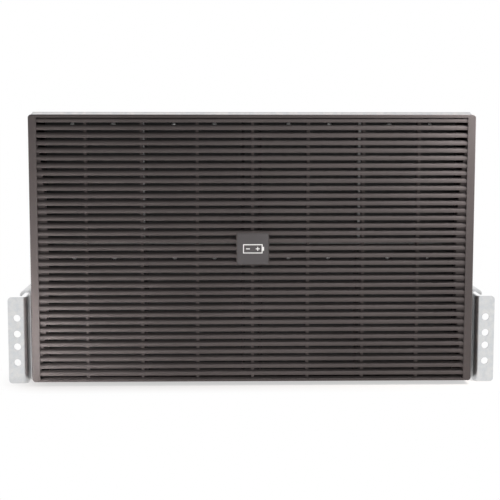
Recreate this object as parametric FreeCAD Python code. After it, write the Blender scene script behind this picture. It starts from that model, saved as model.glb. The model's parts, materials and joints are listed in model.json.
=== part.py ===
import FreeCAD, Part
import math
import os

# External battery pack for a 19-inch rack: a louvred front bezel, a folded steel chassis that
# holds two rows of four battery modules, a rear panel with its connectors, and a pair of rails.
# Millimetres. X is the width, Y runs from the front to the back, Z is up. The origin is the
# middle of the footprint, on the plane that the rails stand on.

# Battery blocks and modules
BLOCK_WIDTH = 90.0
BLOCK_LENGTH = 70.0
BLOCK_HEIGHT = 102.0
BLOCKS_PER_MODULE = 8
BLOCK_GAP = 0.5
BLOCK_SIDE_GAP = 2.0
MODULE_SHEET = 1.0
MODULE_HEADROOM = 23.0
MODULE_SIDE_HEIGHT = 64.0
MODULES_PER_HALF = 2
MODULE_SPACE = 5.0
CENTRE_SPACE = 19.0
SIDE_SPACE = 8.3
ROW_HEADROOM = 5.8
TOP_HEADROOM = 3.4

# Module pull handles
HANDLE_SPAN = 32.0
HANDLE_FOOT = 8.0
HANDLE_REACH = 12.0
HANDLE_HEIGHT = 8.0
HANDLE_DROP = 3.0
HANDLE_SHEET = 1.5

# Plugs on the modules, and their receptacles on the backplane
PLUG_WIDTH = 30.0
PLUG_HEIGHT = 16.0
PLUG_LENGTH = 14.0
RECEPTACLE_WALL = 3.0
RECEPTACLE_DEPTH = 12.0
RECEPTACLE_FLOOR = 2.0
PLUG_FIT = 0.2
PLUG_CENTRE_HEIGHT = 70.0

# Chassis sheet metal
CHASSIS_SHEET = 1.2
CHASSIS_BEND = 1.2
TOP_FLANGE = 14.0
FRONT_SPACE = 30.0
REAR_SPACE = 67.3
COVER_FIT = 0.2
COVER_FRONT_LIP = 4.0
COVER_REAR_LIP = 11.0
COVER_NOTCH = 3.0
SHELF_LIP = 12.0
PARTITION_SHEET = 1.0
CENTRE_POST_GAP = 1.5
BACKPLANE_LIP = 12.0
BACKPLANE_WINDOW_WIDTH = 44.0
BACKPLANE_WINDOW_HEIGHT = 40.0
PANEL_LIP = 14.0

# Front bezel
BEZEL_DEPTH = 20.0
BEZEL_WALL = 2.0
BEZEL_LIFT = 2.0
BEZEL_DROP = 2.8
BEZEL_SIDE_BORDER = 7.7
BEZEL_TOP_BORDER = 2.85
BEZEL_BOTTOM_BORDER = 3.9
BEZEL_CORNER = 3.0
BEZEL_EDGE = 1.0
BEZEL_FACE = 2.5

# Louvre slats, ribs and the bowed webs that carry their ends
SLAT_PITCH = 7.285
SLAT_HEIGHT = 5.1
SLAT_FACE = 3.3
SLAT_DEPTH = 4.4
SLAT_RECESS = 0.6
SLAT_NOSE = 2.0
SLAT_TAPER = 0.35
TOP_SLAT_OVERLAP = 0.5
RIB_BAYS = 8
RIB_THICKNESS = 2.6
RIB_DEPTH = 8.0
WEB_THICKNESS = 2.5
WEB_BOW = 9.2
WEB_TOP_MARGIN = 20.0
WEB_BOTTOM_MARGIN = 4.1

# Centre plate and its boss
PLATE_SIZE = 32.0
PLATE_SLATS = 5
PLATE_THICKNESS = 1.2
PLATE_MARGIN = 0.8
PLATE_FIT = 0.1
BOSS_DEPTH = 6.0

# Snap hooks that hold the bezel on the chassis
HOOK_WIDTH = 14.0
HOOK_THICKNESS = 1.6
HOOK_REACH = 14.0
HOOK_ROOT = 8.0
HOOK_NUB = 1.0
HOOK_NUB_LENGTH = 4.0
HOOK_FIT = 0.2
HOOK_INSET = 60.0

# Rails and rack brackets. The flange reach and the hole column below bring the brackets to the
# standard 482.6 mm overall width and 465.1 mm between hole columns.
RAIL_SHEET = 2.0
RAIL_BEND = 1.5
RAIL_CLEARANCE = 4.5
RAIL_SETBACK = 28.0
RAIL_END_GAP = 40.0
RAIL_LEDGE = 26.0
RAIL_LIP = 7.0
RAIL_LIP_BEND = 2.4
RAIL_LIP_DROP = 3.4
RAIL_LIP_GAP = 0.2
RAIL_SPAN = 740.0
BRACKET_HEIGHT = 86.2
BRACKET_BEND = 3.0
FLANGE_SETBACK = 14.0
FLANGE_REACH = 18.8
FLANGE_CORNER = 3.5
FRONT_BRACKET_LENGTH = 150.0
REAR_BRACKET_LENGTH = 250.0
RACK_HOLE_COLUMN = 10.05
RACK_HOLE_DIAMETER = 7.0
RACK_HOLE_WIDE = 15.875
RACK_HOLE_NARROW = 12.7

# Bolts that clamp the brackets along the rails, with square necks
BOLT_NECK = 5.0
BOLT_HEAD = 8.0
BOLT_HEAD_HEIGHT = 3.5
BOLT_TIP = 0.6
BOLT_INSET = 40.0
BOLT_SPACING = 50.0
RAIL_SLOT_MARGIN = 10.0
BOLT_FIT = 0.2

# Rear panel vents
VENT_WIDTH = 4.0
VENT_HEIGHT = 40.0
VENT_PITCH = 12.0
VENT_COUNT = 12
VENT_BANK_HEIGHTS = (44.0, 224.0)

# Rear panel connectors, all at one height
CONNECTOR_HEIGHT = 134.0
BREAKER_X = -150.0
BREAKER_WIDTH = 38.0
BREAKER_HEIGHT = 80.0
BREAKER_DEPTH = 52.0
BREAKER_COLLAR_WIDTH = 34.0
BREAKER_COLLAR_HEIGHT = 46.0
BREAKER_COLLAR_REACH = 2.0
TOGGLE_WIDTH = 26.0
TOGGLE_HUB_RADIUS = 7.0
TOGGLE_PIVOT_DEPTH = 5.0
TOGGLE_LENGTH = 20.0
TOGGLE_ROOT = 7.0
TOGGLE_TIP = 5.0
TOGGLE_SWING = 20.0
TOGGLE_FIT = 0.3
TOGGLE_ROOM = 0.8
POWER_SOCKET_X = (-70.0, 10.0)
POWER_SOCKET_WIDTH = 48.0
POWER_SOCKET_HEIGHT = 24.0
POWER_SOCKET_DEPTH = 30.0
POWER_SOCKET_WALL = 3.0
POWER_SOCKET_CAVITY = 16.0
POWER_SOCKET_FLANGE = 6.0
POWER_SOCKET_FLANGE_SHEET = 2.5
CONTACT_WIDTH = 10.0
CONTACT_HEIGHT = 6.0
CONTACT_LENGTH = 5.0
CONTACT_SPACING = 20.0
JACK_X = 92.0
JACK_PITCH = 17.0
JACK_COUNT = 2
JACK_CAVITY_WIDTH = 12.2
JACK_CAVITY_HEIGHT = 8.6
JACK_CAVITY_DEPTH = 12.0
JACK_WALL = 2.4
JACK_DEPTH = 18.0
JACK_REACH = 1.0
EARTH_X = 165.0
EARTH_POST = 10.0
EARTH_POST_REACH = 9.0
EARTH_POST_LENGTH = 18.0

# Worked-out sizes of the modules and the chassis
MODULE_WIDTH = BLOCK_WIDTH + 2 * (BLOCK_SIDE_GAP + MODULE_SHEET)
MODULE_LENGTH = BLOCKS_PER_MODULE * (BLOCK_LENGTH + BLOCK_GAP) + BLOCK_GAP + 2 * MODULE_SHEET
MODULE_HEIGHT = MODULE_SHEET + BLOCK_HEIGHT + MODULE_HEADROOM
MODULE_PITCH = MODULE_WIDTH + MODULE_SPACE
BLOCK_PITCH = BLOCK_LENGTH + BLOCK_GAP
INSIDE_HALF = CENTRE_SPACE / 2 + MODULES_PER_HALF * MODULE_PITCH - MODULE_SPACE + SIDE_SPACE
CHASSIS_WIDTH = 2 * (INSIDE_HALF + CHASSIS_SHEET)
CHASSIS_HALF = CHASSIS_WIDTH / 2
CHASSIS_BOTTOM = RAIL_SHEET
FLOOR_TOP = CHASSIS_BOTTOM + CHASSIS_SHEET
SHELF_TOP = FLOOR_TOP + MODULE_HEIGHT + ROW_HEADROOM + CHASSIS_SHEET
FLANGE_UNDERSIDE = SHELF_TOP + MODULE_HEIGHT + TOP_HEADROOM
TRAY_TOP = FLANGE_UNDERSIDE + CHASSIS_SHEET
CHASSIS_TOP = TRAY_TOP + CHASSIS_SHEET
CHASSIS_DEPTH = FRONT_SPACE + MODULE_LENGTH + PLUG_LENGTH + PLUG_FIT + RECEPTACLE_FLOOR + REAR_SPACE

# Worked-out places along Y, all measured back from the front face of the bezel
FRONT_Y = -(FLANGE_SETBACK + RAIL_SPAN + RAIL_SHEET) / 2
CHASSIS_FRONT = FRONT_Y + BEZEL_DEPTH
CHASSIS_REAR = CHASSIS_FRONT + CHASSIS_DEPTH
MODULE_FRONT = CHASSIS_FRONT + FRONT_SPACE
MODULE_REAR = MODULE_FRONT + MODULE_LENGTH
BACKPLANE_FRONT = MODULE_REAR + PLUG_LENGTH + PLUG_FIT + RECEPTACLE_FLOOR
FLANGE_FRONT = FRONT_Y + FLANGE_SETBACK
FLANGE_REAR = FLANGE_FRONT + RAIL_SPAN + RAIL_SHEET

# Worked-out sizes of the bezel and its grille
BEZEL_WIDTH = CHASSIS_WIDTH
BEZEL_BOTTOM = CHASSIS_BOTTOM + BEZEL_LIFT
BEZEL_TOP = CHASSIS_TOP - BEZEL_DROP
OPENING_HALF = BEZEL_WIDTH / 2 - BEZEL_SIDE_BORDER
OPENING_BOTTOM = BEZEL_BOTTOM + BEZEL_BOTTOM_BORDER
OPENING_TOP = BEZEL_TOP - BEZEL_TOP_BORDER
SLAT_FRONT = FRONT_Y + SLAT_RECESS
SLAT_REAR = SLAT_FRONT + SLAT_DEPTH
FIRST_SLAT_BOTTOM = OPENING_TOP + TOP_SLAT_OVERLAP - SLAT_HEIGHT
SLAT_COUNT = 1 + int((FIRST_SLAT_BOTTOM - OPENING_BOTTOM) / SLAT_PITCH)
PLATE_LAST_SLAT = (SLAT_COUNT + PLATE_SLATS) // 2 - 1
PLATE_BOTTOM = FIRST_SLAT_BOTTOM - PLATE_LAST_SLAT * SLAT_PITCH
PLATE_TOP = PLATE_BOTTOM + PLATE_SIZE

# Worked-out sizes of the signal jacks
JACK_WIDTH = (JACK_COUNT - 1) * JACK_PITCH + JACK_CAVITY_WIDTH + 2 * JACK_WALL
JACK_HEIGHT = JACK_CAVITY_HEIGHT + 2 * JACK_WALL

# Worked-out places of the rails, for the right-hand side
RAIL_INSIDE = CHASSIS_HALF + RAIL_CLEARANCE
BRACKET_INSIDE = RAIL_INSIDE + RAIL_SHEET
FLANGE_OUTSIDE = BRACKET_INSIDE + FLANGE_REACH
HOLE_COLUMN_X = BRACKET_INSIDE + RACK_HOLE_COLUMN
RAIL_LIP_UNDERSIDE = BRACKET_HEIGHT + RAIL_LIP_BEND + RAIL_LIP_GAP
RAIL_LIP_END = BRACKET_INSIDE + RAIL_LIP
RAIL_FRONT = FRONT_Y + RAIL_SETBACK
RAIL_REAR = FLANGE_REAR - RAIL_END_GAP
BRACKET_MIDDLE = BRACKET_HEIGHT / 2

X_AXIS = FreeCAD.Vector(1, 0, 0)
Y_AXIS = FreeCAD.Vector(0, 1, 0)
Z_AXIS = FreeCAD.Vector(0, 0, 1)
ORIGIN = FreeCAD.Vector(0, 0, 0)


def save(node, solids):
    """Write one node: a solid, or a group of separate solids."""
    shape = solids[0] if len(solids) == 1 else Part.makeCompound(solids)
    shape.exportStep(os.path.join("parts", node + ".step"))


def block(x, y, z):
    """Box from three (low, high) pairs."""
    size = [high - low for low, high in (x, y, z)]
    return Part.makeBox(*size, FreeCAD.Vector(x[0], y[0], z[0]))


def around(middle, size):
    """Low and high ends of a size centred on a middle."""
    return (middle - size / 2, middle + size / 2)


def rod(start, axis, diameter, length):
    return Part.makeCylinder(diameter / 2, length, start, axis)


def outline(corners, place):
    """Closed wire through (u, v, radius) corners, each rounded by its radius."""
    ends = []
    for index, (u, v, radius) in enumerate(corners):
        corner = FreeCAD.Vector(u, v, 0)
        before = (FreeCAD.Vector(*corners[index - 1][:2], 0) - corner).normalize()
        after = (FreeCAD.Vector(*corners[(index + 1) % len(corners)][:2], 0) - corner).normalize()
        half = before.getAngle(after) / 2
        reach = radius / math.tan(half)
        middle = (before + after).normalize() * (radius / math.sin(half) - radius)
        ends.append((corner + before * reach, corner + middle, corner + after * reach, radius))
    edges = []
    for index, (start, middle, stop, radius) in enumerate(ends):
        last = ends[index - 1][2]
        if (start - last).Length > 1e-6:
            edges.append(Part.LineSegment(place(last.x, last.y), place(start.x, start.y)).toShape())
        if radius > 0:
            points = [place(p.x, p.y) for p in (start, middle, stop)]
            edges.append(Part.Arc(*points).toShape())
    return Part.Wire(edges)


def in_plan(z):
    return lambda u, v: FreeCAD.Vector(u, v, z)


def in_section(y):
    return lambda u, v: FreeCAD.Vector(u, y, v)


def in_profile(x):
    return lambda u, v: FreeCAD.Vector(x, u, v)


def prism(corners, place, along):
    return Part.Face(outline(corners, place)).extrude(along)


def rounded(u, v, radius):
    """Corners of a rectangle from two (low, high) pairs."""
    return [(u[0], v[0], radius), (u[1], v[0], radius), (u[1], v[1], radius), (u[0], v[1], radius)]


def folded(path, sheet, bends=None):
    """Corners of a folded sheet, sharp where no inside bend radius is given for its folds.

    The path is one face of the sheet, which lies to the left of it.
    """
    points = [FreeCAD.Vector(u, v, 0) for u, v in path]
    runs = [(b - a).normalize() for a, b in zip(points, points[1:])]
    lefts = [FreeCAD.Vector(-run.y, run.x, 0) for run in runs]
    near = [(path[0][0], path[0][1], 0)]
    far = [(points[0] + lefts[0] * sheet, 0)]
    for index in range(1, len(points) - 1):
        one, two = lefts[index - 1], lefts[index]
        tight, wide = (bends[index - 1], bends[index - 1] + sheet) if bends else (0, 0)
        turns_left = runs[index - 1].cross(runs[index]).z > 0
        near.append((*path[index], wide if turns_left else tight))
        offset = (one + two) * (sheet / (1 + one.dot(two)))
        far.append((points[index] + offset, tight if turns_left else wide))
    near.append((path[-1][0], path[-1][1], 0))
    far.append((points[-1] + lefts[-1] * sheet, 0))
    return near + [(p.x, p.y, radius) for p, radius in reversed(far)]


def hexagon(start, axis, across, height):
    """Hexagon prism of a given size across its flats, such as a bolt's head."""
    radius = across / math.sqrt(3)
    turn = FreeCAD.Rotation(Z_AXIS, axis)
    points = []
    for index in range(7):
        angle = math.radians(60 * index)
        flat = FreeCAD.Vector(radius * math.cos(angle), radius * math.sin(angle), 0)
        points.append(start + turn.multVec(flat))
    return Part.Face(Part.makePolygon(points)).extrude(axis * height)


def hex_bolt(seat, axis, length):
    """Bolt whose hexagon head sits on a seat and points along the axis, with a square neck behind."""
    half = BOLT_NECK / 2
    turn = FreeCAD.Rotation(Z_AXIS, axis)
    corners = [(-half, -half), (half, -half), (half, half), (-half, half), (-half, -half)]
    points = [seat + turn.multVec(FreeCAD.Vector(u, v, 0)) for u, v in corners]
    neck = Part.Face(Part.makePolygon(points)).extrude(axis * -length)
    return hexagon(seat, axis, BOLT_HEAD, BOLT_HEAD_HEIGHT).fuse(neck)


def both_sides(shape):
    """A right-hand piece and its left-hand mirror image."""
    return {"right": shape, "left": shape.mirror(ORIGIN, X_AXIS)}


def module_places():
    """Middle x and floor height of each module, the upper row first, from left to right."""
    first = CENTRE_SPACE / 2 + MODULE_WIDTH / 2
    half = [first + step * MODULE_PITCH for step in range(MODULES_PER_HALF)]
    row = [-x for x in reversed(half)] + half
    return [(x, floor) for floor in (SHELF_TOP, FLOOR_TOP) for x in row]


def across_opening(corners):
    """Bar of a given profile that runs across the opening and into its side walls."""
    half = OPENING_HALF + BEZEL_WALL / 2
    return prism(corners, in_profile(-half), X_AXIS * 2 * half)


def slat(bottom):
    """Louvre slat: an upright face, a round edge and a top that rises to the back."""
    corners = [
        (SLAT_FRONT, bottom, 0),
        (SLAT_REAR, bottom + SLAT_TAPER, 0),
        (SLAT_REAR, bottom + SLAT_HEIGHT, 0),
        (SLAT_FRONT, bottom + SLAT_FACE, SLAT_NOSE),
    ]
    return across_opening(corners)


def head():
    """Upper edge of the opening, as deep as the slats, so that the first slat grows from it."""
    high = BEZEL_TOP - BEZEL_WALL / 2
    corners = [
        (SLAT_FRONT, OPENING_TOP, 0),
        (SLAT_REAR, OPENING_TOP, 0),
        (SLAT_REAR, high, 0),
        (SLAT_FRONT, high, 0),
    ]
    return across_opening(corners)


def sill():
    """Lower edge of the opening: the top of one more slat, which stands on the bottom wall."""
    bottom = OPENING_BOTTOM - SLAT_HEIGHT
    buried = (bottom, BEZEL_BOTTOM + BEZEL_WALL / 2)
    return slat(bottom).cut(block(around(0, BEZEL_WIDTH), (SLAT_FRONT, SLAT_REAR), buried))


def bowed_web():
    """Web behind the right ends of the slats, whose free edge bows towards the middle."""
    place = in_section(SLAT_REAR)
    root = OPENING_HALF + BEZEL_WALL / 2
    ends = (OPENING_BOTTOM + WEB_BOTTOM_MARGIN, OPENING_TOP - WEB_TOP_MARGIN)
    middle = sum(ends) / 2
    low, top = [place(OPENING_HALF, end) for end in ends]
    low_root, top_root = [place(root, end) for end in ends]
    edges = [
        Part.LineSegment(low, low_root).toShape(),
        Part.LineSegment(low_root, top_root).toShape(),
        Part.LineSegment(top_root, top).toShape(),
        Part.Arc(top, place(OPENING_HALF - WEB_BOW, middle), low).toShape(),
    ]
    return Part.Face(Part.Wire(edges)).extrude(Y_AXIS * WEB_THICKNESS)


def grille_side():
    """Wall behind the right border of the bezel that the slats grow from."""
    return block(
        (OPENING_HALF, OPENING_HALF + BEZEL_WALL),
        (FRONT_Y + BEZEL_FACE / 2, SLAT_REAR + WEB_THICKNESS),
        (BEZEL_BOTTOM + BEZEL_WALL / 2, BEZEL_TOP - BEZEL_WALL / 2),
    )


def hook_heights():
    return (BEZEL_BOTTOM + HOOK_INSET, BEZEL_TOP - HOOK_INSET)


def hook_nub_start():
    return CHASSIS_FRONT + HOOK_REACH - HOOK_NUB_LENGTH


def snap_hook(height):
    """Springy hook on the right wall of the bezel, with a nub that enters the chassis side."""
    outside = INSIDE_HALF - HOOK_FIT
    z = around(height, HOOK_WIDTH)
    arm_end = CHASSIS_FRONT + HOOK_REACH
    arm = block((outside - HOOK_THICKNESS, outside), (CHASSIS_FRONT - HOOK_ROOT, arm_end), z)
    root = block((outside - HOOK_THICKNESS, CHASSIS_HALF - BEZEL_WALL / 2),
                 (CHASSIS_FRONT - HOOK_ROOT, CHASSIS_FRONT - HOOK_ROOT / 2), z)
    start = hook_nub_start()
    corners = [(outside - HOOK_THICKNESS, start, 0), (outside + HOOK_NUB, start, 0), (outside, arm_end, 0)]
    nub = prism(corners, in_plan(z[0]), Z_AXIS * HOOK_WIDTH)
    return arm.fuse([root, nub])


def bezel_shell():
    """Open-backed tray with a bevelled front edge and the grille's opening."""
    across = around(0, BEZEL_WIDTH)
    upright = (BEZEL_BOTTOM, BEZEL_TOP)
    shell = prism(rounded(across, upright, BEZEL_CORNER), in_section(FRONT_Y), Y_AXIS * BEZEL_DEPTH)
    front_edges = [edge for edge in shell.Edges if edge.BoundBox.YMax < FRONT_Y + BEZEL_DEPTH / 2]
    shell = shell.makeChamfer(BEZEL_EDGE, front_edges)
    inside = around(0, BEZEL_WIDTH - 2 * BEZEL_WALL)
    inside_upright = (BEZEL_BOTTOM + BEZEL_WALL, BEZEL_TOP - BEZEL_WALL)
    hollow = block(inside, (FRONT_Y + BEZEL_FACE, FRONT_Y + BEZEL_DEPTH), inside_upright)
    opening = block(around(0, 2 * OPENING_HALF), around(FRONT_Y, 2 * BEZEL_DEPTH),
                    (BEZEL_BOTTOM + BEZEL_WALL, OPENING_TOP))
    return shell.cut([hollow, opening])


def plate_pocket(fit):
    """Centre plate, or the pocket for it when the fit is added on each side."""
    across = around(0, PLATE_SIZE - 2 * PLATE_MARGIN + 2 * fit)
    upright = (PLATE_BOTTOM + PLATE_MARGIN - fit, PLATE_TOP - PLATE_MARGIN + fit)
    return block(across, (SLAT_FRONT, SLAT_FRONT + PLATE_THICKNESS), upright)


def front_bezel():
    """Moulded louvre bezel in one piece."""
    slats = [slat(FIRST_SLAT_BOTTOM - index * SLAT_PITCH) for index in range(SLAT_COUNT)]
    bay = BEZEL_WIDTH / RIB_BAYS
    rib_span = (BEZEL_BOTTOM + BEZEL_WALL / 2, BEZEL_TOP - BEZEL_WALL / 2)
    rib_depth = (SLAT_REAR, SLAT_REAR + RIB_DEPTH)
    ribs = []
    for index in range(1, RIB_BAYS):
        ribs.append(block(around(index * bay - BEZEL_WIDTH / 2, RIB_THICKNESS), rib_depth, rib_span))
    boss = block(around(0, PLATE_SIZE), (SLAT_FRONT, SLAT_FRONT + BOSS_DEPTH), (PLATE_BOTTOM, PLATE_TOP))
    sides = []
    for piece in [bowed_web(), grille_side()] + [snap_hook(height) for height in hook_heights()]:
        sides.extend(both_sides(piece).values())
    grille = bezel_shell().fuse(sides + ribs + [boss, head(), sill()] + slats)
    return grille.cut(plate_pocket(PLATE_FIT)).removeSplitter()


def chassis_tray():
    """Floor, sides and top flanges folded from one sheet."""
    path = [
        (-CHASSIS_HALF + TOP_FLANGE, TRAY_TOP),
        (-CHASSIS_HALF, TRAY_TOP),
        (-CHASSIS_HALF, CHASSIS_BOTTOM),
        (CHASSIS_HALF, CHASSIS_BOTTOM),
        (CHASSIS_HALF, TRAY_TOP),
        (CHASSIS_HALF - TOP_FLANGE, TRAY_TOP),
    ]
    section = folded(path, CHASSIS_SHEET, [CHASSIS_BEND] * 4)
    tray = prism(section, in_section(CHASSIS_FRONT), Y_AXIS * CHASSIS_DEPTH)
    cuts = []
    for end in (CHASSIS_FRONT, CHASSIS_REAR):
        notch_height = (FLANGE_UNDERSIDE - CHASSIS_BEND, CHASSIS_TOP)
        cuts.append(block(around(0, 2 * INSIDE_HALF), around(end, 2 * COVER_NOTCH), notch_height))
    nub = (hook_nub_start() - HOOK_FIT, hook_nub_start() + HOOK_NUB_LENGTH + HOOK_FIT)
    for height in hook_heights():
        cuts.append(block(around(0, 2 * CHASSIS_WIDTH), nub, around(height, HOOK_WIDTH + 2 * HOOK_FIT)))
    return tray.cut(cuts)


def top_cover():
    """Cover plate with a lip folded down at the front and another at the back."""
    back = CHASSIS_REAR + CHASSIS_SHEET
    path = [
        (back, CHASSIS_TOP - COVER_REAR_LIP),
        (back, CHASSIS_TOP),
        (CHASSIS_FRONT, CHASSIS_TOP),
        (CHASSIS_FRONT, CHASSIS_TOP - COVER_FRONT_LIP),
    ]
    half = INSIDE_HALF - COVER_FIT
    section = folded(path, CHASSIS_SHEET, [CHASSIS_BEND] * 2)
    return prism(section, in_profile(-half), X_AXIS * 2 * half)


def middle_shelf():
    """Shelf under the upper row, with side lips folded down against the chassis."""
    path = [
        (INSIDE_HALF, SHELF_TOP - SHELF_LIP),
        (INSIDE_HALF, SHELF_TOP),
        (-INSIDE_HALF, SHELF_TOP),
        (-INSIDE_HALF, SHELF_TOP - SHELF_LIP),
    ]
    section = folded(path, CHASSIS_SHEET)
    return prism(section, in_section(MODULE_FRONT), Y_AXIS * MODULE_LENGTH)


def row_spans():
    """Floor and ceiling of each row."""
    return {"upper": (SHELF_TOP, TRAY_TOP), "lower": (FLOOR_TOP, SHELF_TOP - CHASSIS_SHEET)}


def partition(span):
    """Wall between the two right-hand modules of a row, hemmed along its front edge."""
    x = CENTRE_SPACE / 2 + MODULE_WIDTH + (MODULE_SPACE - PARTITION_SHEET) / 2
    path = [(x, MODULE_REAR), (x, MODULE_FRONT), (x + MODULE_SPACE / 2, MODULE_FRONT)]
    section = folded(path, PARTITION_SHEET)
    return prism(section, in_plan(span[0]), Z_AXIS * (span[1] - span[0]))


def centre_post(span):
    """Channel between the two halves of a row, open at the back."""
    half = CENTRE_SPACE / 2 - CENTRE_POST_GAP
    path = [(-half, MODULE_REAR), (-half, MODULE_FRONT), (half, MODULE_FRONT), (half, MODULE_REAR)]
    section = folded(path, PARTITION_SHEET)
    return prism(section, in_plan(span[0]), Z_AXIS * (span[1] - span[0]))


def backplane():
    """Wall behind the modules, with lips along its top and bottom and windows for wiring."""
    path = [
        (BACKPLANE_FRONT + BACKPLANE_LIP, FLANGE_UNDERSIDE),
        (BACKPLANE_FRONT, FLANGE_UNDERSIDE),
        (BACKPLANE_FRONT, FLOOR_TOP),
        (BACKPLANE_FRONT + BACKPLANE_LIP, FLOOR_TOP),
    ]
    half = INSIDE_HALF - CHASSIS_BEND
    section = folded(path, CHASSIS_SHEET)
    wall = prism(section, in_profile(-half), X_AXIS * 2 * half)
    between = CENTRE_SPACE / 2 + MODULE_WIDTH + MODULE_SPACE / 2
    windows = []
    for floor in (SHELF_TOP, FLOOR_TOP):
        for x in (-between, between):
            windows.append(block(around(x, BACKPLANE_WINDOW_WIDTH), around(BACKPLANE_FRONT, BACKPLANE_LIP),
                                 around(floor + PLUG_CENTRE_HEIGHT, BACKPLANE_WINDOW_HEIGHT)))
    return wall.cut(windows)


def module_tray(x, floor):
    """Steel tray with full-height ends and low sides."""
    outside = around(x, MODULE_WIDTH)
    ceiling = floor + MODULE_HEIGHT
    inside = around(x, MODULE_WIDTH - 2 * MODULE_SHEET)
    along = (MODULE_FRONT + MODULE_SHEET, MODULE_REAR - MODULE_SHEET)
    tray = block(outside, (MODULE_FRONT, MODULE_REAR), (floor, ceiling))
    hollow = block(inside, along, (floor + MODULE_SHEET, ceiling))
    above_sides = block(outside, along, (floor + MODULE_SIDE_HEIGHT, ceiling))
    return tray.cut([hollow, above_sides])


def battery_blocks(x, floor):
    """Row of sealed battery blocks that stand in one tray."""
    first = MODULE_FRONT + MODULE_SHEET + BLOCK_GAP
    base = floor + MODULE_SHEET
    blocks = []
    for index in range(BLOCKS_PER_MODULE):
        start = first + index * BLOCK_PITCH
        y = (start, start + BLOCK_LENGTH)
        blocks.append(block(around(x, BLOCK_WIDTH), y, (base, base + BLOCK_HEIGHT)))
    return blocks


def module_handle(x, floor):
    """Bent strap on the front of a module, with two feet and a grip."""
    half = HANDLE_SPAN / 2
    grip = MODULE_FRONT - HANDLE_REACH
    path = [
        (x + half + HANDLE_FOOT, MODULE_FRONT),
        (x + half, MODULE_FRONT),
        (x + half, grip),
        (x - half, grip),
        (x - half, MODULE_FRONT),
        (x - half - HANDLE_FOOT, MODULE_FRONT),
    ]
    section = folded(path, HANDLE_SHEET)
    base = floor + MODULE_HEIGHT - HANDLE_DROP - HANDLE_HEIGHT
    return prism(section, in_plan(base), Z_AXIS * HANDLE_HEIGHT)


def module_plug(x, floor):
    z = around(floor + PLUG_CENTRE_HEIGHT, PLUG_HEIGHT)
    return block(around(x, PLUG_WIDTH), (MODULE_REAR, MODULE_REAR + PLUG_LENGTH), z)


def receptacle(x, floor):
    """Housing on the backplane that a module's plug slides into."""
    z = floor + PLUG_CENTRE_HEIGHT
    room = 2 * PLUG_FIT
    outer = room + 2 * RECEPTACLE_WALL
    front = BACKPLANE_FRONT - RECEPTACLE_DEPTH
    body = block(around(x, PLUG_WIDTH + outer), (front, BACKPLANE_FRONT), around(z, PLUG_HEIGHT + outer))
    cavity = block(around(x, PLUG_WIDTH + room), (front, BACKPLANE_FRONT - RECEPTACLE_FLOOR),
                   around(z, PLUG_HEIGHT + room))
    return body.cut(cavity)


def vents():
    """Two banks of upright slots in the rear panel."""
    slots = []
    for height in VENT_BANK_HEIGHTS:
        for index in range(VENT_COUNT):
            x = (index - (VENT_COUNT - 1) / 2) * VENT_PITCH
            z = around(height, VENT_HEIGHT)
            slots.append(block(around(x, VENT_WIDTH), around(CHASSIS_REAR, PANEL_LIP), z))
    return slots


def panel_cutout(x, width, height):
    y = around(CHASSIS_REAR, PANEL_LIP)
    return block(around(x, width), y, around(CONNECTOR_HEIGHT, height))


def rear_panel():
    """Pan with lips folded forwards, vents, and cut-outs for what it carries."""
    corner = CHASSIS_BEND + CHASSIS_SHEET
    outside = rounded(around(0, 2 * INSIDE_HALF), (FLOOR_TOP, FLANGE_UNDERSIDE), corner)
    pan = prism(outside, in_section(CHASSIS_REAR - PANEL_LIP), Y_AXIS * PANEL_LIP)
    hollow = block(around(0, 2 * (INSIDE_HALF - CHASSIS_SHEET)),
                   (CHASSIS_REAR - PANEL_LIP, CHASSIS_REAR - CHASSIS_SHEET),
                   (FLOOR_TOP + CHASSIS_SHEET, FLANGE_UNDERSIDE - CHASSIS_SHEET))
    cutouts = [panel_cutout(BREAKER_X, BREAKER_COLLAR_WIDTH, BREAKER_COLLAR_HEIGHT)]
    cutouts.append(panel_cutout(JACK_X, JACK_WIDTH, JACK_HEIGHT))
    for x in POWER_SOCKET_X:
        cutouts.append(panel_cutout(x, POWER_SOCKET_WIDTH, POWER_SOCKET_HEIGHT))
    cutouts.append(earth_post())
    return pan.cut([hollow] + vents() + cutouts)


def toggle_pivot():
    return FreeCAD.Vector(BREAKER_X, CHASSIS_REAR - TOGGLE_PIVOT_DEPTH, CONNECTOR_HEIGHT)


def breaker_body():
    """Two-pole breaker behind the rear panel, with a collar and a well for its toggle."""
    face = CHASSIS_REAR - CHASSIS_SHEET
    body = block(around(BREAKER_X, BREAKER_WIDTH), (face - BREAKER_DEPTH, face),
                 around(CONNECTOR_HEIGHT, BREAKER_HEIGHT))
    collar = block(around(BREAKER_X, BREAKER_COLLAR_WIDTH), (face, CHASSIS_REAR + BREAKER_COLLAR_REACH),
                   around(CONNECTOR_HEIGHT, BREAKER_COLLAR_HEIGHT))
    pivot = toggle_pivot()
    width = TOGGLE_WIDTH + 2 * TOGGLE_FIT
    edge = FreeCAD.Vector(pivot.x - width / 2, pivot.y, pivot.z)
    well = rod(edge, X_AXIS, 2 * (TOGGLE_HUB_RADIUS + TOGGLE_FIT), width)
    swing = math.radians(TOGGLE_SWING)
    near = TOGGLE_ROOT / 2 / math.cos(swing) + TOGGLE_ROOM
    far = near + TOGGLE_LENGTH * math.tan(swing)
    corners = [
        (pivot.y, pivot.z - near, 0),
        (pivot.y + TOGGLE_LENGTH, pivot.z - far, 0),
        (pivot.y + TOGGLE_LENGTH, pivot.z + far, 0),
        (pivot.y, pivot.z + near, 0),
    ]
    sweep = prism(corners, in_profile(edge.x), X_AXIS * width)
    return body.fuse(collar).removeSplitter().cut([well, sweep])


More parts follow.
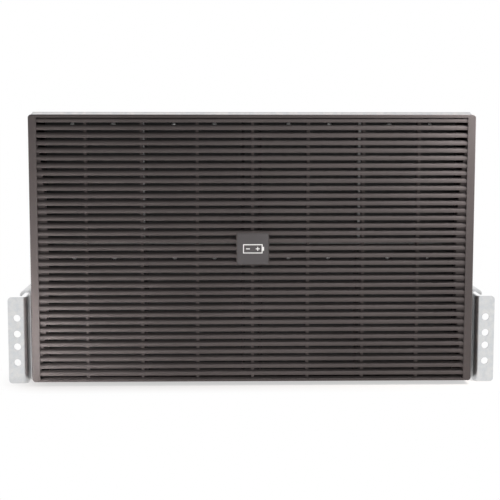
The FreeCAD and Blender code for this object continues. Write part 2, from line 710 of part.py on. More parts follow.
def breaker_toggle():
    """Toggle on a round hub, at the lower end of its travel."""
    pivot = toggle_pivot()
    edge = FreeCAD.Vector(pivot.x - TOGGLE_WIDTH / 2, pivot.y, pivot.z)
    hub = rod(edge, X_AXIS, 2 * TOGGLE_HUB_RADIUS, TOGGLE_WIDTH)
    tip = pivot.y + TOGGLE_LENGTH
    corners = [
        (pivot.y, pivot.z - TOGGLE_ROOT / 2, 0),
        (tip, pivot.z - TOGGLE_TIP / 2, 0),
        (tip, pivot.z + TOGGLE_TIP / 2, 0),
        (pivot.y, pivot.z + TOGGLE_ROOT / 2, 0),
    ]
    lever = prism(corners, in_profile(edge.x), X_AXIS * TOGGLE_WIDTH)
    toggle = hub.fuse(lever).removeSplitter()
    toggle.rotate(pivot, X_AXIS, -TOGGLE_SWING)
    return toggle


def power_socket(x):
    """Two-pole socket with a flange on the panel and two contacts in its cavity."""
    z = CONNECTOR_HEIGHT
    mouth = CHASSIS_REAR + POWER_SOCKET_FLANGE_SHEET
    flange = block(around(x, POWER_SOCKET_WIDTH + 2 * POWER_SOCKET_FLANGE), (CHASSIS_REAR, mouth),
                   around(z, POWER_SOCKET_HEIGHT + 2 * POWER_SOCKET_FLANGE))
    barrel = block(around(x, POWER_SOCKET_WIDTH), (CHASSIS_REAR - POWER_SOCKET_DEPTH, CHASSIS_REAR),
                   around(z, POWER_SOCKET_HEIGHT))
    bottom = mouth - POWER_SOCKET_CAVITY
    cavity = block(around(x, POWER_SOCKET_WIDTH - 2 * POWER_SOCKET_WALL), (bottom, mouth),
                   around(z, POWER_SOCKET_HEIGHT - 2 * POWER_SOCKET_WALL))
    contacts = []
    for middle in around(x, CONTACT_SPACING):
        y = (bottom - POWER_SOCKET_WALL, bottom + CONTACT_LENGTH)
        contacts.append(block(around(middle, CONTACT_WIDTH), y, around(z, CONTACT_HEIGHT)))
    return flange.fuse(barrel).cut(cavity).fuse(contacts).removeSplitter()


def signal_jacks():
    """One housing with a row of signal jacks."""
    mouth = CHASSIS_REAR + JACK_REACH
    housing = block(around(JACK_X, JACK_WIDTH), (CHASSIS_REAR - JACK_DEPTH, mouth),
                    around(CONNECTOR_HEIGHT, JACK_HEIGHT))
    cavities = []
    for index in range(JACK_COUNT):
        x = JACK_X + (index - (JACK_COUNT - 1) / 2) * JACK_PITCH
        cavities.append(block(around(x, JACK_CAVITY_WIDTH), (mouth - JACK_CAVITY_DEPTH, mouth),
                              around(CONNECTOR_HEIGHT, JACK_CAVITY_HEIGHT)))
    return housing.cut(cavities)


def rail_slot(bolt_ys):
    """Slot in the right rail's web that two bracket bolts slide along."""
    along = (bolt_ys[0] - RAIL_SLOT_MARGIN, bolt_ys[1] + RAIL_SLOT_MARGIN)
    height = around(BRACKET_MIDDLE, BOLT_NECK + 2 * BOLT_FIT)
    return block((RAIL_INSIDE - RAIL_SHEET, BRACKET_INSIDE + RAIL_SHEET), along, height)


def front_bolt_ys():
    last = FLANGE_FRONT + FRONT_BRACKET_LENGTH - BOLT_INSET
    return (last - BOLT_SPACING, last)


def rear_bolt_ys():
    first = FLANGE_REAR - REAR_BRACKET_LENGTH + BOLT_INSET
    return (first, first + BOLT_SPACING)


def rail():
    """Right rail: a ledge under the chassis, a web, and a lip that hooks over the brackets."""
    path = [
        (BRACKET_INSIDE - RAIL_LEDGE, 0),
        (BRACKET_INSIDE, 0),
        (BRACKET_INSIDE, RAIL_LIP_UNDERSIDE),
        (RAIL_LIP_END, RAIL_LIP_UNDERSIDE),
        (RAIL_LIP_END, RAIL_LIP_UNDERSIDE - RAIL_LIP_DROP),
    ]
    section = folded(path, RAIL_SHEET, [RAIL_BEND, RAIL_LIP_BEND, RAIL_LIP_BEND])
    beam = prism(section, in_section(RAIL_FRONT), Y_AXIS * (RAIL_REAR - RAIL_FRONT))
    return beam.cut([rail_slot(front_bolt_ys()), rail_slot(rear_bolt_ys())])


def inner_hole_heights():
    """The two rack holes nearest the middle of a flange, on either side of a unit's edge."""
    return around(BRACKET_MIDDLE, RACK_HOLE_NARROW)


def outer_hole_heights():
    """The next two rack holes, one wide step further out."""
    return around(BRACKET_MIDDLE, RACK_HOLE_NARROW + 2 * RACK_HOLE_WIDE)


def bracket(length, hole_heights, corner=0):
    """Right bracket with its flange on the plane y = 0 and its web running back from it."""
    path = [(BRACKET_INSIDE, length), (BRACKET_INSIDE, 0), (FLANGE_OUTSIDE, 0)]
    sheet = prism(folded(path, RAIL_SHEET, [BRACKET_BEND]), in_plan(0), Z_AXIS * BRACKET_HEIGHT)
    corners = [
        (RAIL_INSIDE, 0, 0),
        (FLANGE_OUTSIDE, 0, corner),
        (FLANGE_OUTSIDE, BRACKET_HEIGHT, corner),
        (RAIL_INSIDE, BRACKET_HEIGHT, 0),
    ]
    blank = sheet.common(prism(corners, in_section(0), Y_AXIS * length))
    holes = []
    for height in hole_heights:
        start = FreeCAD.Vector(HOLE_COLUMN_X, -RAIL_SHEET, height)
        holes.append(rod(start, Y_AXIS, RACK_HOLE_DIAMETER, 3 * RAIL_SHEET))
    for y in (length - BOLT_INSET - BOLT_SPACING, length - BOLT_INSET):
        hole = BOLT_NECK + 2 * BOLT_FIT
        holes.append(block((RAIL_INSIDE, FLANGE_OUTSIDE), around(y, hole), around(BRACKET_MIDDLE, hole)))
    return blank.cut(holes)


def front_bracket():
    blank = bracket(FRONT_BRACKET_LENGTH, inner_hole_heights() + outer_hole_heights(), FLANGE_CORNER)
    return blank.translated(Y_AXIS * FLANGE_FRONT)


def rear_bracket():
    blank = bracket(REAR_BRACKET_LENGTH, outer_hole_heights())
    return blank.mirror(ORIGIN, Y_AXIS).translated(Y_AXIS * FLANGE_REAR)


def rail_bolts():
    bolts = []
    outside = BRACKET_INSIDE + RAIL_SHEET
    length = 2 * RAIL_SHEET + BOLT_TIP
    for y in front_bolt_ys() + rear_bolt_ys():
        seat = FreeCAD.Vector(outside, y, BRACKET_MIDDLE)
        bolts.extend(both_sides(hex_bolt(seat, X_AXIS, length)).values())
    return bolts


def earth_post():
    """Hexagon earth post that passes through the rear panel."""
    inner_end = CHASSIS_REAR + EARTH_POST_REACH - EARTH_POST_LENGTH
    start = FreeCAD.Vector(EARTH_X, inner_end, CONNECTOR_HEIGHT)
    return hexagon(start, Y_AXIS, EARTH_POST, EARTH_POST_LENGTH)


def save_front_and_chassis():
    save("front_bezel", [front_bezel()])
    save("centre_plate", [plate_pocket(0)])
    save("chassis_tray", [chassis_tray()])
    save("top_cover", [top_cover()])
    save("middle_shelf", [middle_shelf()])
    save("backplane", [backplane()])
    for row, span in row_spans().items():
        save(row + "_centre_post", [centre_post(span)])
        for side, wall in both_sides(partition(span)).items():
            save(row + "_" + side + "_partition", [wall])


def save_modules():
    places = module_places()
    for number, place in enumerate(places, start=1):
        save("module_tray_" + str(number), [module_tray(*place)])
        save("battery_blocks_" + str(number), battery_blocks(*place))
        save("module_handle_" + str(number), [module_handle(*place)])
    save("module_plugs", [module_plug(*place) for place in places])
    save("backplane_receptacles", [receptacle(*place) for place in places])


def save_rear():
    save("rear_panel", [rear_panel()])
    save("breaker_body", [breaker_body()])
    save("breaker_toggle", [breaker_toggle()])
    for side, x in zip(("left", "right"), POWER_SOCKET_X):
        save(side + "_power_socket", [power_socket(x)])
    save("signal_jacks", [signal_jacks()])
    save("earth_post", [earth_post()])


def save_rails():
    pieces = {"rail": rail(), "front_bracket": front_bracket(), "rear_bracket": rear_bracket()}
    for name, piece in pieces.items():
        for side, shape in both_sides(piece).items():
            save(side + "_" + name, [shape])
    save("rail_bolts", rail_bolts())


os.makedirs("parts", exist_ok=True)
save_front_and_chassis()
save_modules()
save_rear()
save_rails()
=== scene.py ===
import json
import math

import bmesh
import bpy
from mathutils import Matrix, Vector

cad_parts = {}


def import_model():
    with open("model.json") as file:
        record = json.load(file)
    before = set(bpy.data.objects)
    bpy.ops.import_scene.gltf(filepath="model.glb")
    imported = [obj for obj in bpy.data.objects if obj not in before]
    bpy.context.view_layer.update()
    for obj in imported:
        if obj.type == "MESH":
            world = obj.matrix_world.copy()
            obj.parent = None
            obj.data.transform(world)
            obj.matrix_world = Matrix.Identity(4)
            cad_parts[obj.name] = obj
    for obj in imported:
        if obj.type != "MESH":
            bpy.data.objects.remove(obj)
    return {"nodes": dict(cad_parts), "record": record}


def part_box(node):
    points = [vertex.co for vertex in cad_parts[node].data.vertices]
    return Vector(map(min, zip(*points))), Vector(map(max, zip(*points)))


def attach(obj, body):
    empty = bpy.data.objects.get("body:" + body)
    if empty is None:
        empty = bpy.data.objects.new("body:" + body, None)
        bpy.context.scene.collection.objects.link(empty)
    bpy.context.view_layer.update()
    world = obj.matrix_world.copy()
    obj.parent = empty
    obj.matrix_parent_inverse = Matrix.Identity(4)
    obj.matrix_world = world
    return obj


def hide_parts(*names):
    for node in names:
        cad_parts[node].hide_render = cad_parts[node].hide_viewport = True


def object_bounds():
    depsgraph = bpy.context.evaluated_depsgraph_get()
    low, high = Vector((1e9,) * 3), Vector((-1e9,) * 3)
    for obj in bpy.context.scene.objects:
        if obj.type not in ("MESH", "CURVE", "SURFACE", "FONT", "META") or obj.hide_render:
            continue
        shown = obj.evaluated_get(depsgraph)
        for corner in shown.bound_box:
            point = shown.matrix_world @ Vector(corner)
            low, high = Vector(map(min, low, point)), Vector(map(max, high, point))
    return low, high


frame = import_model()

CAD_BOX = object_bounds()
NODES = frame["nodes"]
MM = 0.001

# Camera fitted to the photograph's 500 x 500 frame, in metres and degrees
IMAGE_SIZE = 500
FOCAL_PIXELS = 1200
CAMERA_PLACE = Vector((-0.0326, -1.5392, 0.2609))
CAMERA_PITCH = 6.221
CAMERA_YAW = 1.472
CAMERA_ROLL = 0.047
SENSOR_WIDTH = 36

# Front bezel, in millimetres
BEZEL_DEPTH = 20.0
BEZEL_WALL = 2.0
BEZEL_FACE = 2.5
BEZEL_CORNER = 3.0
BEZEL_EDGE = 1.0
SIDE_BORDER = 7.7
TOP_BORDER = 2.85
BOTTOM_BORDER = 3.9
OPENING_CORNER = 0.3
SLAT_PITCH = 7.285
SLAT_HEIGHT = 5.1
SLAT_FACE = 3.3
SLAT_DEPTH = 4.4
SLAT_RECESS = 0.6
SLAT_NOSE = 2.0
SLAT_TAPER = 0.35
SLAT_LOWER_ROUND = 0.6
TOP_SLAT_OVERLAP = 0.5
RIB_BAYS = 8
RIB_THICKNESS = 2.6
RIB_DEPTH = 8.0
RIB_ROUND = 0.2
WEB_THICKNESS = 2.5
WEB_BOW = 9.2
WEB_TOP_MARGIN = 20.0
WEB_BOTTOM_MARGIN = 4.1
SEAT = 0.5
BOSS_DEPTH = 6.0
BOSS_ROUND = 0.4
PLATE_MARGIN = 0.8
PLATE_FIT = 0.1
PLATE_ROUND = 0.35
HOOK_WIDTH = 14.0
HOOK_THICKNESS = 1.6
HOOK_ROOT = 8.0
HOOK_NUB = 1.0
HOOK_NUB_LENGTH = 4.0
HOOK_INSET = 60.0
HOOK_CLEARANCE = 1.4

# Pictogram on the centre plate, in millimetres
SIGN_WIDTH = 19.0
SIGN_HEIGHT = 9.0
SIGN_STROKE = 0.9
SIGN_RELIEF = 0.06
SIGN_TERMINAL = 1.44
SIGN_ARM = 1.875

# Screws, rivets and washers, in millimetres and degrees. Sections of heads are shares of their sizes
BURIED = 0.3
SCREW_RADIUS = 2.9
SCREW_HEIGHT = 1.9
SCREW_SLOT = (3.4, 0.75, 1.1)
SCREW_FLAT = 0.5
SCREW_WALL = 0.35
SCREW_TURN = 37
SUNK_RADIUS = 3.4
SUNK_DEPTH = 1.0
SUNK_TOP = -0.12
SUNK_RIM = -0.3
SUNK_HEAD = 0.94
SUNK_SHANK = 0.55
RIVET_RADIUS = 2.4
RIVET_HEIGHT = 1.0
RIVET_SECTION = ((1, 0.15), (0.8, 0.75), (0.5, 1), (0.3, 0.95), (0.25, 0.5), (0, 0.45))
HANDLE_FOOT = 8.0
HANDLE_SHEET = 1.5
COVER_SCREWS = 5
COVER_SCREW_INSET = 7.0
COVER_SCREW_END = 30.0
REAR_LIP_SCREWS = 5
REAR_LIP_SCREW_X = 190.0
REAR_LIP_SCREW_DROP = 5.8
SIDE_SCREWS = 4
SIDE_SCREW_INSET = 7.0
SIDE_SCREW_LOW = 40.0
SIDE_SCREW_HIGH = 30.0
SHELF_RIVETS = 6
SHELF_RIVET_DROP = 6.0
SHELF_RIVET_END = 30.0
SOCKET_SCREW = (2.0, 1.3)
SOCKET_SCREW_INSET = 3.0
BREAKER_SCREW = (2.4, 1.6)
BREAKER_SCREW_REACH = 31.0
EARTH_SCREW = (4.0, 2.6)
WASHER_RADIUS = 4.9
WASHER_HEIGHT = 0.8
WASHER_EDGE = 0.2

# Contacts of the power sockets and the signal jacks, in millimetres
SOCKET_CAVITY = 16.0
CONTACT_SPACING = 20.0
CONTACT_HALF = (5.15, 3.15)
CONTACT_LENGTH = 5.2
CONTACT_ROUND = 0.5
JACK_PITCH = 17.0
JACK_CAVITY_DEPTH = 12.0
JACK_WIRES = 8
JACK_WIRE_PITCH = 1.02
JACK_WIRE_WIDTH = 0.5
JACK_WIRE_SECTION = ((-BURIED, -3.6), (-BURIED, -3.2), (8.0, 1.6), (8.4, 1.3))

# Breaker toggle and the rear panel's printed signs, in millimetres and degrees
TOGGLE_ROOT = 7.0
TOGGLE_TIP = 5.0
TOGGLE_LENGTH = 20.0
TOGGLE_SWING = 20.0
TOGGLE_RIDGES = (11.5, 13.5, 15.5, 17.5)
TOGGLE_RIDGE = 0.35
TOGGLE_RIDGE_HALF = (10.5, 0.45)
TOGGLE_RIDGE_ROUND = 0.25
MARK_SIZE = 7.0
MARK_STROKE = 1.0
MARK_RISE = 13.0
MARK_RELIEF = 0.04
EARTH_MARK_DROP = 5.6
EARTH_MARK_HALVES = (3.4, 2.2, 1.0)
EARTH_MARK_PITCH = 1.5

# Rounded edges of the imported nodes, in millimetres
RAIL_ROUND = 0.35
SHEET_ROUND = 0.25
HANDLE_ROUND = 0.3
ZINC_ROUND = 0.4
SOCKET_ROUND = 0.5
BREAKER_ROUND = 0.6

# Meshes: counts of steps, angles in degrees and a tolerance in millimetres
CORNER_STEPS = 4
SMALL_CORNER_STEPS = 3
NOSE_STEPS = 8
BOW_STEPS = 36
HEAD_STEPS = 5
TURN_STEPS = 24
RING_STEPS = 32
SMOOTH_ANGLE = 35.0
BEZEL_SMOOTH_ANGLE = 30.0
SCREW_SMOOTH_ANGLE = 40.0
ROUNDED_SMOOTH_ANGLE = 50.0
FOLD_ANGLE = 40.0
FLAT_ANGLE = 1.0
WELD_DISTANCE = 0.001

# Floor in metres, and the studio's brightness from one height of a ray's direction to another
FLOOR_HALF = 6.0
FLOOR_DROP = 0.0002
FLOOR_COLOUR = (0.93, 0.86, 0.82, 1.0)
SHADOW_INSET = (0.016, 0.02)
SHADOW_REACH = 0.06
SHADOW_FADE = 0.52
SOFT_HEIGHTS = (0.15, 0.45)
SOFT_LEVELS = (0.23, 0.12)
WHITE_HEIGHTS = (0.3, 1.0)
WHITE_LEVELS = (1.0, 0.72)

# Part of a texture's range that a ramp covers, and the places of a mix node's colour sockets
RAMP_SPAN = (0.3, 0.7)
MIX_FIRST = 6
MIX_SECOND = 7
MIX_RESULT = 2


class Graph:
    """A material's node tree, with a principled shader that its textures feed."""

    def __init__(self, name):
        self.material = bpy.data.materials.new(name)
        self.material.use_nodes = True
        self.tree = self.material.node_tree
        self.tree.nodes.clear()
        self.output = self.add("ShaderNodeOutputMaterial")
        self.shader = self.add("ShaderNodeBsdfPrincipled")
        self.join(self.shader.outputs["BSDF"], self.output.inputs["Surface"])
        self.place = self.add("ShaderNodeTexCoord").outputs["Object"]

    def add(self, kind, **values):
        node = self.tree.nodes.new(kind)
        for name, value in values.items():
            node.inputs[name].default_value = value
        return node

    def join(self, start, end):
        self.tree.links.new(start, end)

    def stretched(self, scale):
        mapping = self.add("ShaderNodeMapping", Scale=scale)
        self.join(self.place, mapping.inputs["Vector"])
        return mapping.outputs["Vector"]

    def noise(self, scale, detail=3.0, stretch=None):
        noise = self.add("ShaderNodeTexNoise", Scale=scale, Detail=detail)
        vector = self.place if stretch is None else self.stretched(stretch)
        self.join(vector, noise.inputs["Vector"])
        return noise.outputs["Fac"]

    def cells(self, scale):
        cells = self.add("ShaderNodeTexVoronoi", Scale=scale)
        self.join(self.place, cells.inputs["Vector"])
        return cells.outputs["Color"]

    def ramp(self, source, low, high, span=RAMP_SPAN):
        """Colour ramp over a span of a texture's values, where a number stands for a grey."""
        ramp = self.add("ShaderNodeValToRGB")
        for element, position, colour in zip(ramp.color_ramp.elements, span, (low, high)):
            element.position = position
            element.color = grey(colour) if isinstance(colour, float) else (*colour, 1.0)
        self.join(source, ramp.inputs["Fac"])
        return ramp.outputs["Color"]

    def varied(self, source, colour, low, high, span=RAMP_SPAN):
        """Colour ramp from a darker to a lighter shade of one colour."""
        return self.ramp(source, shade(colour, low), shade(colour, high), span)

    def multiply(self, first, second):
        mix = self.add("ShaderNodeMix")
        mix.data_type = "RGBA"
        mix.blend_type = "MULTIPLY"
        mix.inputs["Factor"].default_value = 1.0
        self.join(first, mix.inputs[MIX_FIRST])
        self.join(second, mix.inputs[MIX_SECOND])
        return mix.outputs[MIX_RESULT]

    def feed(self, name, source):
        self.join(source, self.shader.inputs[name])

    def bump(self, source, strength, distance):
        bump = self.add("ShaderNodeBump", Strength=strength, Distance=distance)
        self.join(source, bump.inputs["Height"])
        self.join(bump.outputs["Normal"], self.shader.inputs["Normal"])


def grey(value):
    return (value, value, value, 1.0)


def shade(colour, factor):
    return tuple(channel * factor for channel in colour)


def moulded_plastic(name, colour, roughness, grain=1700.0, relief=0.00006, specular=0.5):
    """Satin plastic: faint flow marks in the colour and a fine spark-eroded grain."""
    graph = Graph(name)
    flow = graph.noise(scale=9.0, detail=4.0)
    patches = graph.noise(scale=160.0)
    grains = graph.noise(scale=grain, detail=2.0)
    graph.feed("Base Color", graph.varied(flow, colour, low=0.88, high=1.12))
    graph.feed("Roughness", graph.ramp(patches, low=roughness - 0.05, high=roughness + 0.05))
    graph.bump(grains, strength=0.35, distance=relief)
    graph.shader.inputs["Specular IOR Level"].default_value = specular
    return graph.material


def galvanised_sheet(name, colour, roughness):
    """Zinc-coated sheet: small crystals, mottling, rolling lines and a soft sheen."""
    graph = Graph(name)
    cells = graph.cells(scale=240.0)
    cell_span = (0.2, 0.8)
    crystals = graph.varied(cells, colour, low=0.965, high=1.02, span=cell_span)
    blots = graph.noise(scale=192.0, detail=4.0)
    mottle = graph.ramp(blots, low=(0.89, 0.915, 0.945), high=1.0, span=(0.35, 0.65))
    streaks = graph.noise(scale=1.0, stretch=(900.0, 14.0, 900.0))
    lines = graph.ramp(streaks, low=0.955, high=1.0)
    clouds = graph.ramp(graph.noise(scale=6.0), low=0.95, high=1.0)
    tint = graph.multiply(graph.multiply(crystals, mottle), graph.multiply(lines, clouds))
    graph.feed("Base Color", tint)
    graph.feed("Roughness", graph.ramp(cells, low=roughness - 0.04, high=roughness + 0.06, span=cell_span))
    graph.shader.inputs["Metallic"].default_value = 1.0
    graph.bump(graph.noise(scale=620.0), strength=0.1, distance=0.00004)
    return graph.material


def plated_steel(name, colour, roughness):
    """Bright plated steel with fine drawn lines."""
    graph = Graph(name)
    lines = graph.noise(scale=1.0, detail=2.0, stretch=(60.0, 2600.0, 2600.0))
    graph.feed("Base Color", graph.varied(lines, colour, low=0.86, high=1.0))
    graph.feed("Roughness", graph.ramp(lines, low=roughness + 0.08, high=roughness))
    graph.shader.inputs["Metallic"].default_value = 1.0
    graph.bump(lines, strength=0.08, distance=0.00003)
    return graph.material


def powder_coat(name, colour, roughness):
    """Powder coat with an orange-peel surface."""
    graph = Graph(name)
    peel = graph.noise(scale=520.0, detail=2.0)
    graph.feed("Base Color", graph.varied(graph.noise(scale=14.0), colour, low=0.85, high=1.15))
    graph.feed("Roughness", graph.ramp(peel, low=roughness - 0.06, high=roughness + 0.06))
    graph.bump(peel, strength=0.3, distance=0.0001)
    return graph.material


def printed_ink(name, colour):
    """Screen-printed ink, slightly uneven."""
    graph = Graph(name)
    graph.feed("Base Color", graph.varied(graph.noise(scale=900.0), colour, low=0.9, high=1.0))
    graph.feed("Roughness", graph.ramp(graph.noise(scale=1200.0, detail=2.0), low=0.45, high=0.6))
    return graph.material


def new_piece(name, bm, material, body="pack", smooth=SMOOTH_ANGLE):
    """Mesh object from a bmesh, in metres, that rides on a body."""
    mesh = bpy.data.meshes.new(name)
    bm.to_mesh(mesh)
    bm.free()
    piece = bpy.data.objects.new(name, mesh)
    bpy.context.scene.collection.objects.link(piece)
    finish_piece(piece, material, body, smooth)
    return piece


def finish_piece(piece, material, body, smooth):
    """Give a piece its material and shading, and the body that it belongs to."""
    piece.data.materials.clear()
    piece.data.materials.append(material)
    piece.data.shade_smooth()
    piece.data.set_sharp_from_angle(angle=math.radians(smooth))
    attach(piece, body)


def arc(centre, radius, start, stop, steps):
    """Points along an arc, with angles in degrees."""
    points = []
    for step in range(steps + 1):
        angle = math.radians(start + (stop - start) * step / steps)
        points.append((centre[0] + radius * math.cos(angle), centre[1] + radius * math.sin(angle)))
    return points


def rounded_rectangle(u, v, radius, steps=CORNER_STEPS):
    """Points round a rectangle from two (low, high) pairs, with rounded corners."""
    points = []
    corners = ((u[1], v[1], 0), (u[0], v[1], 90), (u[0], v[0], 180), (u[1], v[0], 270))
    for corner_u, corner_v, start in corners:
        centre_u = corner_u - radius if corner_u == u[1] else corner_u + radius
        centre_v = corner_v - radius if corner_v == v[1] else corner_v + radius
        points.extend(arc((centre_u, centre_v), radius, start, start + 90, steps))
    return points


def add_prism(bm, points, place, along):
    """Closed prism in millimetres: a flat outline that place() puts in space, moved along a vector."""
    low = [bm.verts.new(Vector(place(u, v)) * MM) for u, v in points]
    high = [bm.verts.new((Vector(place(u, v)) + Vector(along)) * MM) for u, v in points]
    bm.faces.new(low)
    bm.faces.new(list(reversed(high)))
    for index in range(len(points)):
        after = (index + 1) % len(points)
        bm.faces.new((low[after], low[index], high[index], high[after]))


def add_sleeve(bm, rings):
    """Closed skin through rings of points in millimetres, from the last ring back to the first."""
    loops = [[bm.verts.new(Vector(point) * MM) for point in ring] for ring in rings]
    for loop, following in zip(loops, loops[1:] + loops[:1]):
        for index in range(len(loop)):
            after = (index + 1) % len(loop)
            bm.faces.new((loop[index], loop[after], following[after], following[index]))


def add_box(bm, x, y, z):
    """Box from three (low, high) pairs in millimetres."""
    outline = [(x[0], z[0]), (x[1], z[0]), (x[1], z[1]), (x[0], z[1])]
    add_prism(bm, outline, lambda u, v: (u, y[0], v), (0, y[1] - y[0], 0))


def solid(bm):
    """Temporary object with outward faces, for a union or a cut."""
    bmesh.ops.recalc_face_normals(bm, faces=bm.faces)
    mesh = bpy.data.meshes.new("tool")
    bm.to_mesh(mesh)
    bm.free()
    piece = bpy.data.objects.new("tool", mesh)
    bpy.context.scene.collection.objects.link(piece)
    return piece


def combined(name, base, steps):
    """New object made from a base by a list of ("UNION" or "DIFFERENCE", tool) steps."""
    for operation, tool in steps:
        modifier = base.modifiers.new("step", "BOOLEAN")
        modifier.operation = operation
        modifier.object = tool
        modifier.solver = "MANIFOLD"
    evaluated = base.evaluated_get(bpy.context.evaluated_depsgraph_get())
    mesh = bpy.data.meshes.new_from_object(evaluated)
    mesh.name = name
    for tool in [base] + [tool for _, tool in steps]:
        bpy.data.objects.remove(tool)
    piece = bpy.data.objects.new(name, mesh)
    bpy.context.scene.collection.objects.link(piece)
    return piece


def weighted(piece):
    """Keep flat faces flat where they meet small rounded edges."""
    modifier = piece.modifiers.new("normals", "WEIGHTED_NORMAL")
    modifier.keep_sharp = True


def node_solid(node):
    """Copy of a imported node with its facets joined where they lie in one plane."""
    bm = bmesh.new()
    bm.from_mesh(NODES[node].data)
    bmesh.ops.remove_doubles(bm, verts=bm.verts, dist=WELD_DISTANCE * MM)
    bmesh.ops.dissolve_limit(bm, angle_limit=math.radians(FLAT_ANGLE), verts=bm.verts, edges=bm.edges)
    return bm


def round_edges(bm, width):
    """Round the edges at which two faces fold sharply."""
    fold = math.radians(FOLD_ANGLE)
    shared = [edge for edge in bm.edges if len(edge.link_faces) == 2]
    edges = [edge for edge in shared if edge.calc_face_angle() > fold]
    bmesh.ops.bevel(bm, geom=edges, offset=width * MM, segments=2, profile=0.5, affect="EDGES",
                    clamp_overlap=True)


def rounded_node(node, width, material, body="pack", cutter=None):
    """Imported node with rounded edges, as a piece in its place."""
    bm = node_solid(node)
    round_edges(bm, width)
    name = node + "_finished"
    if cutter is None:
        piece = new_piece(name, bm, material, body, ROUNDED_SMOOTH_ANGLE)
    else:
        piece = combined(name, solid(bm), [("DIFFERENCE", cutter)])
        finish_piece(piece, material, body, ROUNDED_SMOOTH_ANGLE)
    weighted(piece)
    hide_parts(node)


def add_lathe(bm, profile):
    """Closed solid turned round the z axis, from (radius, height) points that start and end on the axis."""
    rings = []
    for radius, height in profile[1:-1]:
        circle = arc((0, 0), radius, 0, 360, TURN_STEPS)[:-1]
        rings.append([bm.verts.new(Vector((u, v, height)) * MM) for u, v in circle])
    for end, ring in ((profile[0], rings[0]), (profile[-1], rings[-1])):
        tip = bm.verts.new(Vector((0, 0, end[1])) * MM)
        for index in range(TURN_STEPS):
            bm.faces.new((tip, ring[index], ring[(index + 1) % TURN_STEPS]))
    for ring, following in zip(rings, rings[1:]):
        for index in range(TURN_STEPS):
            after = (index + 1) % TURN_STEPS
            bm.faces.new((ring[index], ring[after], following[after], following[index]))


def cross_slot(top):
    """Steps that cut the cross into a screw's head."""
    length, width, depth = (size / 2 for size in SCREW_SLOT)
    bm = bmesh.new()
    add_box(bm, (-length, length), (-width, width), (top - 2 * depth, top + depth))
    one = solid(bm)
    bm = bmesh.new()
    add_box(bm, (-width, width), (-length, length), (top - 2 * depth, top + depth))
    return [("DIFFERENCE", one), ("DIFFERENCE", solid(bm))]


def turned_solid(profile):
    """Temporary turned object, for a union or a cut."""
    bm = bmesh.new()
    add_lathe(bm, profile)
    return solid(bm)


def pan_screw(radius=SCREW_RADIUS, height=SCREW_HEIGHT):
    """Pan-head screw with a cross slot, seated on z = 0."""
    profile = [(0, -BURIED), (radius, -BURIED)]
    for u, v in arc((0, 0), 1, 0, 90, HEAD_STEPS):
        across = SCREW_FLAT + (1 - SCREW_FLAT) * u
        upright = SCREW_WALL + (1 - SCREW_WALL) * v
        profile.append((radius * across, height * upright))
    profile.append((0, height))
    return combined("pan_screw", turned_solid(profile), cross_slot(height))


def sunk_screw():
    """Countersunk screw with a cross slot, whose head ends just below z = 0."""
    bottom = -SUNK_DEPTH - BURIED
    head_radius = SUNK_RADIUS * SUNK_HEAD
    profile = [(0, bottom), (SUNK_RADIUS * SUNK_SHANK, bottom), (head_radius, SUNK_RIM),
               (head_radius, SUNK_TOP), (0, SUNK_TOP)]
    return combined("sunk_screw", turned_solid(profile), cross_slot(SUNK_TOP))


def rivet():
    """Blind rivet with a dimple in its domed head, seated on z = 0."""
    profile = [(0, -BURIED), (RIVET_RADIUS, -BURIED)]
    profile += [(RIVET_RADIUS * across, RIVET_HEIGHT * upright) for across, upright in RIVET_SECTION]
    return combined("rivet", turned_solid(profile), [])


def washer():
    """Washer with a chamfered edge, seated on z = 0. Its middle is filled, because a screw covers it."""
    edge = WASHER_HEIGHT - WASHER_EDGE
    profile = [(0, -BURIED), (WASHER_RADIUS, -BURIED), (WASHER_RADIUS, edge),
               (WASHER_RADIUS - WASHER_EDGE, WASHER_HEIGHT), (0, WASHER_HEIGHT)]
    return combined("washer", turned_solid(profile), [])


def scattered(name, template, places, axis, material):
    """One piece made of copies of a template, each turned so that its z axis points along an axis."""
    bm = bmesh.new()
    turn = Vector((0, 0, 1)).rotation_difference(Vector(axis)).to_matrix().to_4x4()
    for index, place in enumerate(places):
        start = len(bm.verts)
        bm.from_mesh(template.data)
        bm.verts.ensure_lookup_table()
        spin = Matrix.Rotation(math.radians(SCREW_TURN * index), 4, "Z")
        matrix = Matrix.Translation(Vector(place) * MM) @ turn @ spin
        bmesh.ops.transform(bm, matrix=matrix, verts=bm.verts[start:])
    bpy.data.objects.remove(template)
    new_piece(name, bm, material, smooth=SCREW_SMOOTH_ANGLE)


def millimetres(node):
    """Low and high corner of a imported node's box."""
    low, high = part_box(node)
    return low / MM, high / MM


def named(*starts):
    """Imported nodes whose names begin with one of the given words."""
    return [node for node in sorted(NODES) if node.startswith(starts)]


def spread(low, high, count):
    """Evenly spaced places from one end to the other."""
    return [low + (high - low) * index / (count - 1) for index in range(count)]


